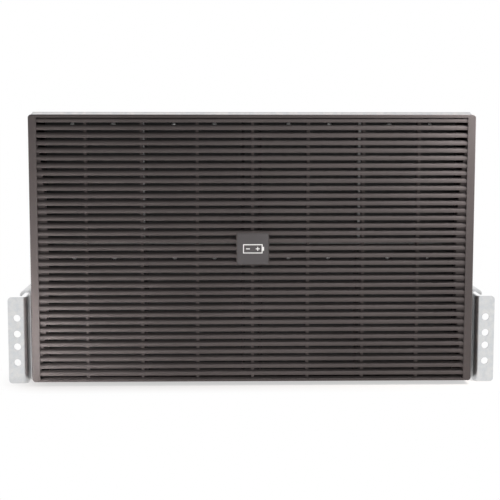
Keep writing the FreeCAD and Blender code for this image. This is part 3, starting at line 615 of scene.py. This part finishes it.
class BezelSizes:
    """Places of the bezel's features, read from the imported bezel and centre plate."""

    def __init__(self):
        low, high = millimetres("front_bezel")
        plate_low, plate_high = millimetres("centre_plate")
        self.half = high.x
        self.front = low.y
        self.rear = low.y + BEZEL_DEPTH
        self.hook_end = high.y
        self.bottom = low.z
        self.top = high.z
        self.opening_half = self.half - SIDE_BORDER
        self.opening = (self.bottom + BOTTOM_BORDER, self.top - TOP_BORDER)
        self.slat_front = self.front + SLAT_RECESS
        self.slat_rear = self.slat_front + SLAT_DEPTH
        first = self.opening[1] + TOP_SLAT_OVERLAP - SLAT_HEIGHT
        count = 1 + int((first - self.opening[0]) / SLAT_PITCH)
        self.slat_bottoms = [first - index * SLAT_PITCH for index in range(count)]
        self.plate_half = plate_high.x
        self.plate = (plate_low.z, plate_high.z)
        self.plate_depth = (plate_low.y, plate_high.y)
        self.boss_half = self.plate_half + PLATE_MARGIN
        self.boss = (plate_low.z - PLATE_MARGIN, plate_high.z + PLATE_MARGIN)


def bezel_shell(sizes):
    """Open-backed shell with a rounded front edge, as one skin from the opening round to the inside."""
    def ring(y, inset, corner):
        across = (-sizes.half + inset, sizes.half - inset)
        upright = (sizes.bottom + inset, sizes.top - inset)
        return [(u, y, v) for u, v in rounded_rectangle(across, upright, corner)]

    def opening_ring(y):
        across = (-sizes.opening_half, sizes.opening_half)
        upright = (sizes.bottom + BEZEL_WALL, sizes.opening[1])
        return [(u, y, v) for u, v in rounded_rectangle(across, upright, OPENING_CORNER)]

    rings = [opening_ring(sizes.front + BEZEL_FACE), opening_ring(sizes.front)]
    for step in range(CORNER_STEPS + 1):
        angle = math.pi / 2 * step / CORNER_STEPS
        inset = BEZEL_EDGE * (1 - math.sin(angle))
        depth = BEZEL_EDGE * (1 - math.cos(angle))
        rings.append(ring(sizes.front + depth, inset, BEZEL_CORNER - inset))
    rings.append(ring(sizes.rear, 0, BEZEL_CORNER))
    rings.append(ring(sizes.rear, BEZEL_WALL, BEZEL_CORNER - BEZEL_WALL))
    rings.append(ring(sizes.front + BEZEL_FACE, BEZEL_WALL, BEZEL_CORNER - BEZEL_WALL))
    bm = bmesh.new()
    add_sleeve(bm, rings)
    return solid(bm)


def slat_profile(sizes, bottom):
    """Section of a slat in y and z: an upright face, a round edge and a top that rises to the back."""
    front = sizes.slat_front
    rise = math.degrees(math.atan2(SLAT_HEIGHT - SLAT_FACE, SLAT_DEPTH))
    edge = bottom + SLAT_FACE - SLAT_NOSE * math.tan(math.radians(90 - rise) / 2)
    points = [(sizes.slat_rear, bottom + SLAT_TAPER), (sizes.slat_rear, bottom + SLAT_HEIGHT)]
    points += arc((front + SLAT_NOSE, edge), SLAT_NOSE, 90 + rise, 180, NOSE_STEPS)
    lower = (front + SLAT_LOWER_ROUND, bottom + SLAT_LOWER_ROUND)
    points += arc(lower, SLAT_LOWER_ROUND, 180, 270, CORNER_STEPS)
    return points


def sill_profile(sizes):
    """Section of the sill: the top of one more slat, which stands on the bottom wall."""
    floor = sizes.bottom + BEZEL_WALL / 2
    above = [point for point in slat_profile(sizes, sizes.opening[0] - SLAT_HEIGHT) if point[1] > floor]
    return [(sizes.slat_rear, floor)] + above + [(above[-1][0], floor)]


def slats(sizes):
    """Slats across the opening, and the sill below them."""
    bm = bmesh.new()
    half = sizes.opening_half + BEZEL_WALL / 2
    profiles = [slat_profile(sizes, bottom) for bottom in sizes.slat_bottoms]
    for profile in profiles + [sill_profile(sizes)]:
        add_prism(bm, profile, lambda u, v: (-half, u, v), (2 * half, 0, 0))
    return solid(bm)


def head(sizes):
    """Upper edge of the opening, as deep as the slats."""
    bm = bmesh.new()
    half = sizes.opening_half + BEZEL_WALL / 2
    upright = (sizes.opening[1], sizes.top - BEZEL_WALL / 2)
    add_box(bm, (-half, half), (sizes.slat_front, sizes.slat_rear), upright)
    return solid(bm)


def ribs(sizes):
    """Upright ribs behind the slats, with rounded edges."""
    bm = bmesh.new()
    bay = 2 * sizes.half / RIB_BAYS
    low = sizes.bottom + BEZEL_WALL / 2
    depth = (sizes.slat_rear - SEAT, sizes.slat_rear + RIB_DEPTH)
    for index in range(1, RIB_BAYS):
        middle = index * bay - sizes.half
        across = (middle - RIB_THICKNESS / 2, middle + RIB_THICKNESS / 2)
        outline = rounded_rectangle(across, depth, RIB_ROUND, SMALL_CORNER_STEPS)
        add_prism(bm, outline, lambda u, v: (u, v, low), (0, 0, sizes.top - low - BEZEL_WALL / 2))
    return solid(bm)


def webs(sizes):
    """Webs behind the slats' ends. The free edge of a web bows towards the middle."""
    bm = bmesh.new()
    low = sizes.opening[0] + WEB_BOTTOM_MARGIN
    high = sizes.opening[1] - WEB_TOP_MARGIN
    middle = (low + high) / 2
    chord = (high - low) / 2
    radius = (chord ** 2 + WEB_BOW ** 2) / (2 * WEB_BOW)
    reach = math.degrees(math.asin(chord / radius))
    centre = sizes.opening_half - WEB_BOW + radius
    bow = arc((centre, middle), radius, 180 - reach, 180 + reach, BOW_STEPS)
    root = sizes.opening_half + BEZEL_WALL / 2
    depth = sizes.slat_rear - SEAT
    thickness = WEB_THICKNESS + SEAT
    for side in (-1, 1):
        outline = [(side * u, v) for u, v in [(root, high)] + bow + [(root, low)]]
        add_prism(bm, outline, lambda u, v: (u, depth, v), (0, thickness, 0))
    return solid(bm)


def side_walls(sizes):
    """Walls beside the opening, from its face to the back of the webs."""
    bm = bmesh.new()
    depth = (sizes.front + BEZEL_FACE / 2, sizes.slat_rear + WEB_THICKNESS)
    upright = (sizes.bottom + BEZEL_WALL / 2, sizes.top - BEZEL_WALL / 2)
    for side in (-1, 1):
        across = sorted((side * sizes.opening_half, side * (sizes.opening_half + BEZEL_WALL)))
        add_box(bm, across, depth, upright)
    return solid(bm)


def boss(sizes):
    """Square block in the middle of the slats, for the centre plate."""
    bm = bmesh.new()
    across = (-sizes.boss_half, sizes.boss_half)
    outline = rounded_rectangle(across, sizes.boss, BOSS_ROUND, SMALL_CORNER_STEPS)
    add_prism(bm, outline, lambda u, v: (u, sizes.slat_front, v), (0, BOSS_DEPTH, 0))
    return solid(bm)


def plate_pocket(sizes):
    """Cutter for the pocket that the centre plate sits in."""
    bm = bmesh.new()
    half = sizes.plate_half + PLATE_FIT
    upright = (sizes.plate[0] - PLATE_FIT, sizes.plate[1] + PLATE_FIT)
    add_box(bm, (-half, half), (sizes.front - BEZEL_FACE, sizes.plate_depth[1]), upright)
    return solid(bm)


def snap_hooks(sizes):
    """Springy arms behind the side walls, each with a nub at its end."""
    bm = bmesh.new()
    outside = sizes.half - HOOK_CLEARANCE
    inside = outside - HOOK_THICKNESS
    start = sizes.rear - HOOK_ROOT
    root = start + HOOK_ROOT / 2
    nub = sizes.hook_end - HOOK_NUB_LENGTH
    end = sizes.hook_end
    wall = sizes.half - BEZEL_WALL / 2
    outline = [(inside, start), (wall, start), (wall, root), (outside, root), (outside, nub),
               (outside + HOOK_NUB, nub), (outside, end), (inside, end)]
    for height in (sizes.bottom + HOOK_INSET, sizes.top - HOOK_INSET):
        base = height - HOOK_WIDTH / 2
        for side in (-1, 1):
            turned = [(side * u, v) for u, v in outline]
            add_prism(bm, turned, lambda u, v: (u, v, base), (0, 0, HOOK_WIDTH))
    return solid(bm)


def front_bezel(material):
    """Moulded bezel with round-nosed slats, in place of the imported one."""
    sizes = BezelSizes()
    added = (side_walls, webs, ribs, head, slats, boss, snap_hooks)
    steps = [("UNION", make(sizes)) for make in added]
    steps.append(("DIFFERENCE", plate_pocket(sizes)))
    bezel = combined("bezel_moulding", bezel_shell(sizes), steps)
    finish_piece(bezel, material, "pack", BEZEL_SMOOTH_ANGLE)
    weighted(bezel)
    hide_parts("front_bezel")
    return sizes


def centre_plate(sizes, material):
    """Square plate with rounded edges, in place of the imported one."""
    bm = bmesh.new()
    add_box(bm, (-sizes.plate_half, sizes.plate_half), sizes.plate_depth, sizes.plate)
    bmesh.ops.recalc_face_normals(bm, faces=bm.faces)
    bmesh.ops.bevel(bm, geom=bm.edges[:], offset=PLATE_ROUND * MM, segments=3, profile=0.5,
                    affect="EDGES")
    plate = new_piece("plate_moulding", bm, material)
    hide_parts("centre_plate")


def plate_sign(sizes, material):
    """Plain battery pictogram: an outline with a terminal, a plus and a minus."""
    bm = bmesh.new()
    middle = (sizes.plate[0] + sizes.plate[1]) / 2
    y = (sizes.plate_depth[0] - SIGN_RELIEF, sizes.plate_depth[0] + SIGN_RELIEF)
    half = SIGN_WIDTH / 2
    rise = SIGN_HEIGHT / 2
    stroke = SIGN_STROKE / 2
    for edge in (-1, 1):
        bar = sorted((middle + edge * rise, middle + edge * (rise - SIGN_STROKE)))
        add_box(bm, (-half, half), y, bar)
        side = sorted((edge * half, edge * (half - SIGN_STROKE)))
        add_box(bm, side, y, (middle - rise + SIGN_STROKE, middle + rise - SIGN_STROKE))
    add_box(bm, (half, half + SIGN_TERMINAL), y, (middle - SIGN_ARM, middle + SIGN_ARM))
    for x in (-half / 2, half / 2):
        add_box(bm, (x - SIGN_ARM, x + SIGN_ARM), y, (middle - stroke, middle + stroke))
    for edge in (-1, 1):
        upright = sorted((middle + edge * stroke, middle + edge * SIGN_ARM))
        add_box(bm, (half / 2 - stroke, half / 2 + stroke), y, upright)
    bmesh.ops.recalc_face_normals(bm, faces=bm.faces)
    new_piece("plate_sign", bm, material)


def handle_screws(material):
    """Bright screws through the feet of the module handles."""
    places = []
    for node in named("module_handle"):
        low, high = millimetres(node)
        for x in (low.x + HANDLE_FOOT / 2, high.x - HANDLE_FOOT / 2):
            places.append((x, high.y - HANDLE_SHEET, (low.z + high.z) / 2))
    scattered("handle_screws", pan_screw(), places, (0, -1, 0), material)


def top_cover(material, zinc):
    """Cover with countersunk screws along its sides and pan-head screws in its rear lip."""
    low, high = millimetres("top_cover")
    places = []
    for x in (low.x + COVER_SCREW_INSET, high.x - COVER_SCREW_INSET):
        for y in spread(low.y + COVER_SCREW_END, high.y - COVER_SCREW_END, COVER_SCREWS):
            places.append((x, y, high.z))
    countersink = [(0, -SUNK_DEPTH), (SUNK_RADIUS - SUNK_DEPTH, -SUNK_DEPTH), (SUNK_RADIUS, 0),
                   (SUNK_RADIUS, SUNK_DEPTH), (0, SUNK_DEPTH)]
    bm = bmesh.new()
    for place in places:
        begin = len(bm.verts)
        add_lathe(bm, countersink)
        bm.verts.ensure_lookup_table()
        bmesh.ops.translate(bm, vec=Vector(place) * MM, verts=bm.verts[begin:])
    rounded_node("top_cover", SHEET_ROUND, material, cutter=solid(bm))
    scattered("cover_screws", sunk_screw(), places, (0, 0, 1), zinc)
    across = spread(-REAR_LIP_SCREW_X, REAR_LIP_SCREW_X, REAR_LIP_SCREWS)
    lip = [(x, high.y, high.z - REAR_LIP_SCREW_DROP) for x in across]
    scattered("rear_lip_screws", pan_screw(), lip, (0, 1, 0), zinc)


def side_fasteners(zinc):
    """Screws into the rear panel's lips and rivets into the shelf's lips, on both sides."""
    low, high = millimetres("chassis_tray")
    shelf_low, shelf_high = millimetres("middle_shelf")
    depth = high.y - SIDE_SCREW_INSET
    heights = spread(low.z + SIDE_SCREW_LOW, high.z - SIDE_SCREW_HIGH, SIDE_SCREWS)
    shelf = shelf_high.z - SHELF_RIVET_DROP
    along = spread(shelf_low.y + SHELF_RIVET_END, shelf_high.y - SHELF_RIVET_END, SHELF_RIVETS)
    for side, name in ((-1, "left"), (1, "right")):
        screws = [(side * high.x, depth, z) for z in heights]
        scattered(name + "_side_screws", pan_screw(), screws, (side, 0, 0), zinc)
        rivets = [(side * high.x, y, shelf) for y in along]
        scattered(name + "_shelf_rivets", rivet(), rivets, (side, 0, 0), zinc)


def rear_fasteners(zinc):
    """Small screws of the sockets and the breaker, and the earth post's screw and washer."""
    places = []
    for side in ("left", "right"):
        low, high = millimetres(side + "_power_socket")
        for x in (low.x + SOCKET_SCREW_INSET, high.x - SOCKET_SCREW_INSET):
            places.append((x, high.y, (low.z + high.z) / 2))
    scattered("socket_screws", pan_screw(*SOCKET_SCREW), places, (0, 1, 0), zinc)
    low, high = millimetres("breaker_body")
    panel = millimetres("rear_panel")[1].y
    middle = (low + high) / 2
    reaches = (-BREAKER_SCREW_REACH, BREAKER_SCREW_REACH)
    ends = [(middle.x, panel, middle.z + reach) for reach in reaches]
    scattered("breaker_screws", pan_screw(*BREAKER_SCREW), ends, (0, 1, 0), zinc)
    low, high = millimetres("earth_post")
    end = ((low.x + high.x) / 2, high.y, (low.z + high.z) / 2)
    scattered("earth_washer", washer(), [end], (0, 1, 0), zinc)
    seat = (end[0], end[1] + WASHER_HEIGHT, end[2])
    scattered("earth_screw", pan_screw(*EARTH_SCREW), [seat], (0, 1, 0), zinc)


def power_contacts(material):
    """Plated sleeves over the contacts in the power sockets."""
    bm = bmesh.new()
    for side in ("left", "right"):
        low, high = millimetres(side + "_power_socket")
        middle = (low + high) / 2
        bottom = high.y - SOCKET_CAVITY
        depth = (bottom - BURIED, bottom + CONTACT_LENGTH)
        upright = (middle.z - CONTACT_HALF[1], middle.z + CONTACT_HALF[1])
        for x in (middle.x - CONTACT_SPACING / 2, middle.x + CONTACT_SPACING / 2):
            add_box(bm, (x - CONTACT_HALF[0], x + CONTACT_HALF[0]), depth, upright)
    bmesh.ops.recalc_face_normals(bm, faces=bm.faces)
    round_edges(bm, CONTACT_ROUND)
    new_piece("power_contacts", bm, material, smooth=ROUNDED_SMOOTH_ANGLE)


def jack_contacts(material):
    """Sprung wires across each signal jack."""
    bm = bmesh.new()
    low, high = millimetres("signal_jacks")
    middle = (low + high) / 2
    back = high.y - JACK_CAVITY_DEPTH
    section = [(back + u, middle.z + v) for u, v in JACK_WIRE_SECTION]
    for jack in (middle.x - JACK_PITCH / 2, middle.x + JACK_PITCH / 2):
        for index in range(JACK_WIRES):
            x = jack + (index - (JACK_WIRES - 1) / 2) * JACK_WIRE_PITCH
            side = x - JACK_WIRE_WIDTH / 2
            add_prism(bm, section, lambda u, v: (side, u, v), (JACK_WIRE_WIDTH, 0, 0))
    bmesh.ops.recalc_face_normals(bm, faces=bm.faces)
    new_piece("jack_contacts", bm, material)


def toggle_ridges(material):
    """Grip ridges across both faces of the breaker's toggle."""
    bm = bmesh.new()
    wide, long = TOGGLE_RIDGE_HALF
    for distance in TOGGLE_RIDGES:
        taper = (TOGGLE_ROOT - TOGGLE_TIP) / 2 * distance / TOGGLE_LENGTH
        half = TOGGLE_ROOT / 2 - taper + TOGGLE_RIDGE
        add_box(bm, (-wide, wide), (distance - long, distance + long), (-half, half))
    bmesh.ops.recalc_face_normals(bm, faces=bm.faces)
    round_edges(bm, TOGGLE_RIDGE_ROUND)
    pivot = Vector(frame["record"]["behaviour"]["joints"][0]["pos_m"])
    rest = Matrix.Translation(pivot) @ Matrix.Rotation(math.radians(-TOGGLE_SWING), 4, "X")
    bmesh.ops.transform(bm, matrix=rest, verts=bm.verts)
    new_piece("toggle_ridges", bm, material, "toggle", ROUNDED_SMOOTH_ANGLE)


def rear_marks(material):
    """Printed signs on the rear panel: on and off, plus and minus, and earth."""
    bm = bmesh.new()
    panel = millimetres("rear_panel")[1].y
    y = (panel - MARK_RELIEF, panel + MARK_RELIEF)
    stroke = MARK_STROKE / 2

    def bar(x, z, half_width, half_height):
        add_box(bm, (x - half_width, x + half_width), y, (z - half_height, z + half_height))

    low, high = millimetres("breaker_body")
    middle = (low + high) / 2
    x = low.x - MARK_SIZE
    bar(x, middle.z + MARK_RISE, stroke, MARK_SIZE / 2)
    outer = MARK_SIZE / 2
    inner = outer - MARK_STROKE
    rings = []
    for radius, depth in ((outer, y[0]), (outer, y[1]), (inner, y[1]), (inner, y[0])):
        ring = arc((x, middle.z - MARK_RISE), radius, 0, 360, RING_STEPS)[:-1]
        rings.append([(u, depth, v) for u, v in ring])
    add_sleeve(bm, rings)
    for side in ("left", "right"):
        low, high = millimetres(side + "_power_socket")
        middle = (low + high) / 2
        z = low.z - MARK_SIZE
        for x in (middle.x - CONTACT_SPACING / 2, middle.x + CONTACT_SPACING / 2):
            bar(x, z, MARK_SIZE / 2, stroke)
        for edge in (-1, 1):
            reach = (MARK_SIZE / 2 - stroke) / 2
            bar(middle.x + CONTACT_SPACING / 2, z + edge * (stroke + reach), stroke, reach)
    low, high = millimetres("earth_post")
    middle = (low + high) / 2
    z = low.z - EARTH_MARK_DROP
    bar(middle.x, z - MARK_SIZE / 4 + stroke, stroke, MARK_SIZE / 4)
    for step, half_width in enumerate(EARTH_MARK_HALVES):
        bar(middle.x, z - MARK_SIZE / 2 - step * EARTH_MARK_PITCH, half_width, stroke)
    bmesh.ops.recalc_face_normals(bm, faces=bm.faces)
    new_piece("rear_marks", bm, material)


def dress(nodes, material):
    """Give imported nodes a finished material."""
    for node in nodes:
        slots = NODES[node].data.materials
        slots.clear()
        slots.append(material)


def light(name, place, aim, size, power, colour):
    """Area lamp aimed at a point, which neither the camera nor a reflection shows."""
    lamp = bpy.data.lights.new(name, "AREA")
    lamp.shape = "RECTANGLE"
    lamp.size, lamp.size_y = size
    lamp.energy = power
    lamp.color = colour
    holder = bpy.data.objects.new(name, lamp)
    bpy.context.scene.collection.objects.link(holder)
    holder.location = place
    holder.rotation_euler = (Vector(aim) - Vector(place)).to_track_quat("-Z", "Y").to_euler()
    holder.visible_camera = False
    holder.visible_glossy = False


def shown_rays(tree):
    """One for camera, glossy and transmission rays, which see the backdrop as it is."""
    path = tree.nodes.new("ShaderNodeLightPath")
    total = path.outputs["Is Camera Ray"]
    for name in ("Is Glossy Ray", "Is Transmission Ray"):
        add = tree.nodes.new("ShaderNodeMath")
        add.operation = "MAXIMUM"
        tree.links.new(total, add.inputs[0])
        tree.links.new(path.outputs[name], add.inputs[1])
        total = add.outputs[0]
    return total


def dome(tree, height, heights, levels):
    """Background whose brightness goes from one level to another as a ray points higher."""
    ramp = tree.nodes.new("ShaderNodeValToRGB")
    for element, position, level in zip(ramp.color_ramp.elements, heights, levels):
        element.position = position
        element.color = grey(level)
    tree.links.new(height, ramp.inputs["Fac"])
    background = tree.nodes.new("ShaderNodeBackground")
    tree.links.new(ramp.outputs["Color"], background.inputs["Color"])
    return background


def world():
    """Pale studio: white to the eye and in reflections, and a soft light that weakens overhead."""
    studio = bpy.data.worlds.new("studio")
    bpy.context.scene.world = studio
    studio.use_nodes = True
    tree = studio.node_tree
    tree.nodes.clear()
    place = tree.nodes.new("ShaderNodeTexCoord")
    direction = tree.nodes.new("ShaderNodeSeparateXYZ")
    tree.links.new(place.outputs["Generated"], direction.inputs[0])
    soft = dome(tree, direction.outputs["Z"], SOFT_HEIGHTS, SOFT_LEVELS)
    white = dome(tree, direction.outputs["Z"], WHITE_HEIGHTS, WHITE_LEVELS)
    mix = tree.nodes.new("ShaderNodeMixShader")
    output = tree.nodes.new("ShaderNodeOutputWorld")
    tree.links.new(shown_rays(tree), mix.inputs["Fac"])
    tree.links.new(soft.outputs[0], mix.inputs[1])
    tree.links.new(white.outputs[0], mix.inputs[2])
    tree.links.new(mix.outputs[0], output.inputs["Surface"])


def footprint_distance(tree):
    """Distance of a point of the floor from a rectangle under the object."""
    def step(operation, source):
        node = tree.nodes.new("ShaderNodeVectorMath")
        node.operation = operation
        tree.links.new(source, node.inputs[0])
        return node

    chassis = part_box("chassis_tray")[1]
    place = tree.nodes.new("ShaderNodeTexCoord")
    folded = step("ABSOLUTE", place.outputs["Object"])
    outside = step("SUBTRACT", folded.outputs[0])
    outside.inputs[1].default_value = (chassis[0] - SHADOW_INSET[0], CAD_BOX[1][1] - SHADOW_INSET[1], 0)
    positive = step("MAXIMUM", outside.outputs[0])
    positive.inputs[1].default_value = (0, 0, 0)
    return step("LENGTH", positive.outputs[0]).outputs["Value"]


def floor_material():
    """White floor that keeps a soft shadow round the object and fades into the backdrop."""
    material = bpy.data.materials.new("floor")
    material.use_nodes = True
    tree = material.node_tree
    tree.nodes.clear()
    fade = tree.nodes.new("ShaderNodeMapRange")
    fade.interpolation_type = "SMOOTHSTEP"
    fade.inputs["From Max"].default_value = SHADOW_REACH
    fade.inputs["To Min"].default_value = SHADOW_FADE
    seen = tree.nodes.new("ShaderNodeMath")
    seen.operation = "MULTIPLY"
    matt = tree.nodes.new("ShaderNodeBsdfDiffuse")
    matt.inputs["Color"].default_value = FLOOR_COLOUR
    white = tree.nodes.new("ShaderNodeEmission")
    mix = tree.nodes.new("ShaderNodeMixShader")
    output = tree.nodes.new("ShaderNodeOutputMaterial")
    tree.links.new(footprint_distance(tree), fade.inputs["Value"])
    tree.links.new(fade.outputs["Result"], seen.inputs[0])
    tree.links.new(shown_rays(tree), seen.inputs[1])
    tree.links.new(seen.outputs[0], mix.inputs["Fac"])
    tree.links.new(matt.outputs[0], mix.inputs[1])
    tree.links.new(white.outputs[0], mix.inputs[2])
    tree.links.new(mix.outputs[0], output.inputs["Surface"])
    return material


def stage_floor():
    """Wide floor just below the object."""
    bm = bmesh.new()
    bmesh.ops.create_grid(bm, x_segments=1, y_segments=1, size=FLOOR_HALF)
    mesh = bpy.data.meshes.new("floor")
    bm.to_mesh(mesh)
    bm.free()
    floor = bpy.data.objects.new("floor", mesh)
    bpy.context.scene.collection.objects.link(floor)
    floor.location.z = -FLOOR_DROP
    mesh.materials.append(floor_material())


def camera():
    """Camera at the fitted place, with the fitted turn and focal length."""
    pitch, yaw, roll = (math.radians(angle) for angle in (CAMERA_PITCH, CAMERA_YAW, CAMERA_ROLL))
    level = math.cos(pitch)
    forward = Vector((math.sin(yaw) * level, math.cos(yaw) * level, -math.sin(pitch)))
    right = Vector((math.cos(yaw), -math.sin(yaw), 0))
    up = right.cross(forward)
    turn = Matrix((right, up, -forward)).transposed() @ Matrix.Rotation(roll, 3, "Z")
    data = bpy.data.cameras.new("camera")
    data.sensor_width = SENSOR_WIDTH
    data.lens = FOCAL_PIXELS / IMAGE_SIZE * SENSOR_WIDTH
    holder = bpy.data.objects.new("camera", data)
    bpy.context.scene.collection.objects.link(holder)
    holder.matrix_world = Matrix.Translation(CAMERA_PLACE) @ turn.to_4x4()
    bpy.context.scene.camera = holder


BEZEL_PLASTIC = moulded_plastic("bezel_plastic", (0.077, 0.0675, 0.067), roughness=0.5, specular=0.08)
PLATE_PLASTIC = moulded_plastic("plate_plastic", (0.087, 0.082, 0.085), roughness=0.36, grain=2400.0,
                                relief=0.00003, specular=0.12)
# Chassis and cover are one galvanised sheet. The chassis colour is darker as painted shade on the sides and
# back, and the cover colour is lighter as a painted reflection on the top.
PAINTED_SHADE_CHASSIS_STEEL = galvanised_sheet("chassis_steel", (0.68, 0.668, 0.66), roughness=0.36)
PAINTED_LIGHT_COVER_STEEL = galvanised_sheet("painted_light_cover_steel", (0.95, 0.925, 0.912), roughness=0.36)
# Galvanised sheet darkened as painted shade inside the pack, for the shelf and backplane.
PAINTED_SHADE_SHELF_STEEL = galvanised_sheet("painted_shade_shelf_steel", (0.32, 0.31, 0.305), roughness=0.45)
# Galvanised sheet darkened as painted shade inside the pack, for the upper partitions.
PAINTED_SHADE_PARTITION_STEEL = galvanised_sheet("painted_shade_partition_steel", (0.55, 0.54, 0.53), roughness=0.42)
RAIL_STEEL = galvanised_sheet("rail_steel", (0.79, 0.787, 0.78), roughness=0.32)
BRIGHT_ZINC = plated_steel("bright_zinc", (0.82, 0.82, 0.81), roughness=0.24)
CONTACT_GOLD = plated_steel("contact_gold", (0.83, 0.62, 0.3), roughness=0.22)
# Black coat: the real finish of the module trays and handles, and painted shade on the upper centre post
# and the lower row's parts.
BLACK_COAT_AND_PAINTED_SHADE = powder_coat("black_coat_and_painted_shade", (0.016, 0.016, 0.017), roughness=0.45)
BATTERY_CASE = moulded_plastic("battery_case", (0.022, 0.022, 0.024), roughness=0.45, grain=1100.0)
CONNECTOR_PLASTIC = moulded_plastic("connector_plastic", (0.018, 0.018, 0.019), roughness=0.38,
                                    grain=1500.0)
BREAKER_PLASTIC = moulded_plastic("breaker_plastic", (0.024, 0.024, 0.025), roughness=0.34, grain=1900.0)
TOGGLE_PLASTIC = moulded_plastic("toggle_plastic", (0.05, 0.05, 0.053), roughness=0.28, grain=2600.0,
                                 relief=0.00002)
WHITE_INK = printed_ink("white_ink", (0.82, 0.82, 0.82))
DARK_INK = printed_ink("dark_ink", (0.03, 0.03, 0.032))

bezel_sizes = front_bezel(BEZEL_PLASTIC)
centre_plate(bezel_sizes, PLATE_PLASTIC)
plate_sign(bezel_sizes, WHITE_INK)

# Shelf and backplane in the darkened sheet: painted shade.
dress(named("middle_shelf", "backplane"), PAINTED_SHADE_SHELF_STEEL)
# Upper partitions in the darkened sheet: painted shade.
dress(named("upper_left", "upper_right"), PAINTED_SHADE_PARTITION_STEEL)
# Module trays have a real black coat. The upper centre post and the lower row's parts are black as painted
# shade.
dress(named("module_tray", "upper_centre", "lower_"), BLACK_COAT_AND_PAINTED_SHADE)
dress(named("battery_blocks"), BATTERY_CASE)
dress(named("module_plugs", "backplane_receptacles"), CONNECTOR_PLASTIC)

for node in named("left_rail", "right_rail", "left_front", "right_front", "left_rear", "right_rear"):
    rounded_node(node, RAIL_ROUND, RAIL_STEEL)
# Chassis tray and rear panel take the darker copy of the sheet, as painted shade.
for node in ("chassis_tray", "rear_panel"):
    rounded_node(node, SHEET_ROUND, PAINTED_SHADE_CHASSIS_STEEL)
for node in named("module_handle"):
    rounded_node(node, HANDLE_ROUND, BLACK_COAT_AND_PAINTED_SHADE)
for node in ("earth_post", "rail_bolts"):
    rounded_node(node, ZINC_ROUND, BRIGHT_ZINC)
for node in ("left_power_socket", "right_power_socket", "signal_jacks"):
    rounded_node(node, SOCKET_ROUND, CONNECTOR_PLASTIC)
rounded_node("breaker_body", BREAKER_ROUND, BREAKER_PLASTIC)
rounded_node("breaker_toggle", BREAKER_ROUND, TOGGLE_PLASTIC, "toggle")

handle_screws(BRIGHT_ZINC)
# The cover takes the lighter copy of the sheet, as a painted reflection.
top_cover(PAINTED_LIGHT_COVER_STEEL, BRIGHT_ZINC)
side_fasteners(BRIGHT_ZINC)
rear_fasteners(BRIGHT_ZINC)
power_contacts(BRIGHT_ZINC)
jack_contacts(CONTACT_GOLD)
toggle_ridges(TOGGLE_PLASTIC)
rear_marks(DARK_INK)

stage_floor()
world()
light("front", place=(0.0, -1.4, 0.12), aim=(0.0, -0.37, 0.13), size=(1.4, 0.2), power=5.0,
      colour=(1.0, 0.99, 0.98))
light("left", place=(-0.45, -0.5, 0.02), aim=(-0.2, -0.37, 0.12), size=(0.2, 0.05), power=0.75,
      colour=(1.0, 0.98, 0.96))
light("lower_left", place=(-0.25, -0.43, 0.002), aim=(-0.2, -0.37, 0.2), size=(0.2, 0.06), power=1.1,
      colour=(1.0, 0.97, 0.95))
light("upper_right", place=(0.33, -0.47, 0.38), aim=(0.2, -0.37, 0.2), size=(0.12, 0.12), power=2.1,
      colour=(1.0, 0.985, 0.97))
light("rear", place=(0.5, 2.4, 0.9), aim=(0.0, 0.3, 0.12), size=(1.6, 1.0), power=30.0,
      colour=(1.0, 1.0, 1.0))
camera()
bpy.context.scene.view_settings.view_transform = "Standard"
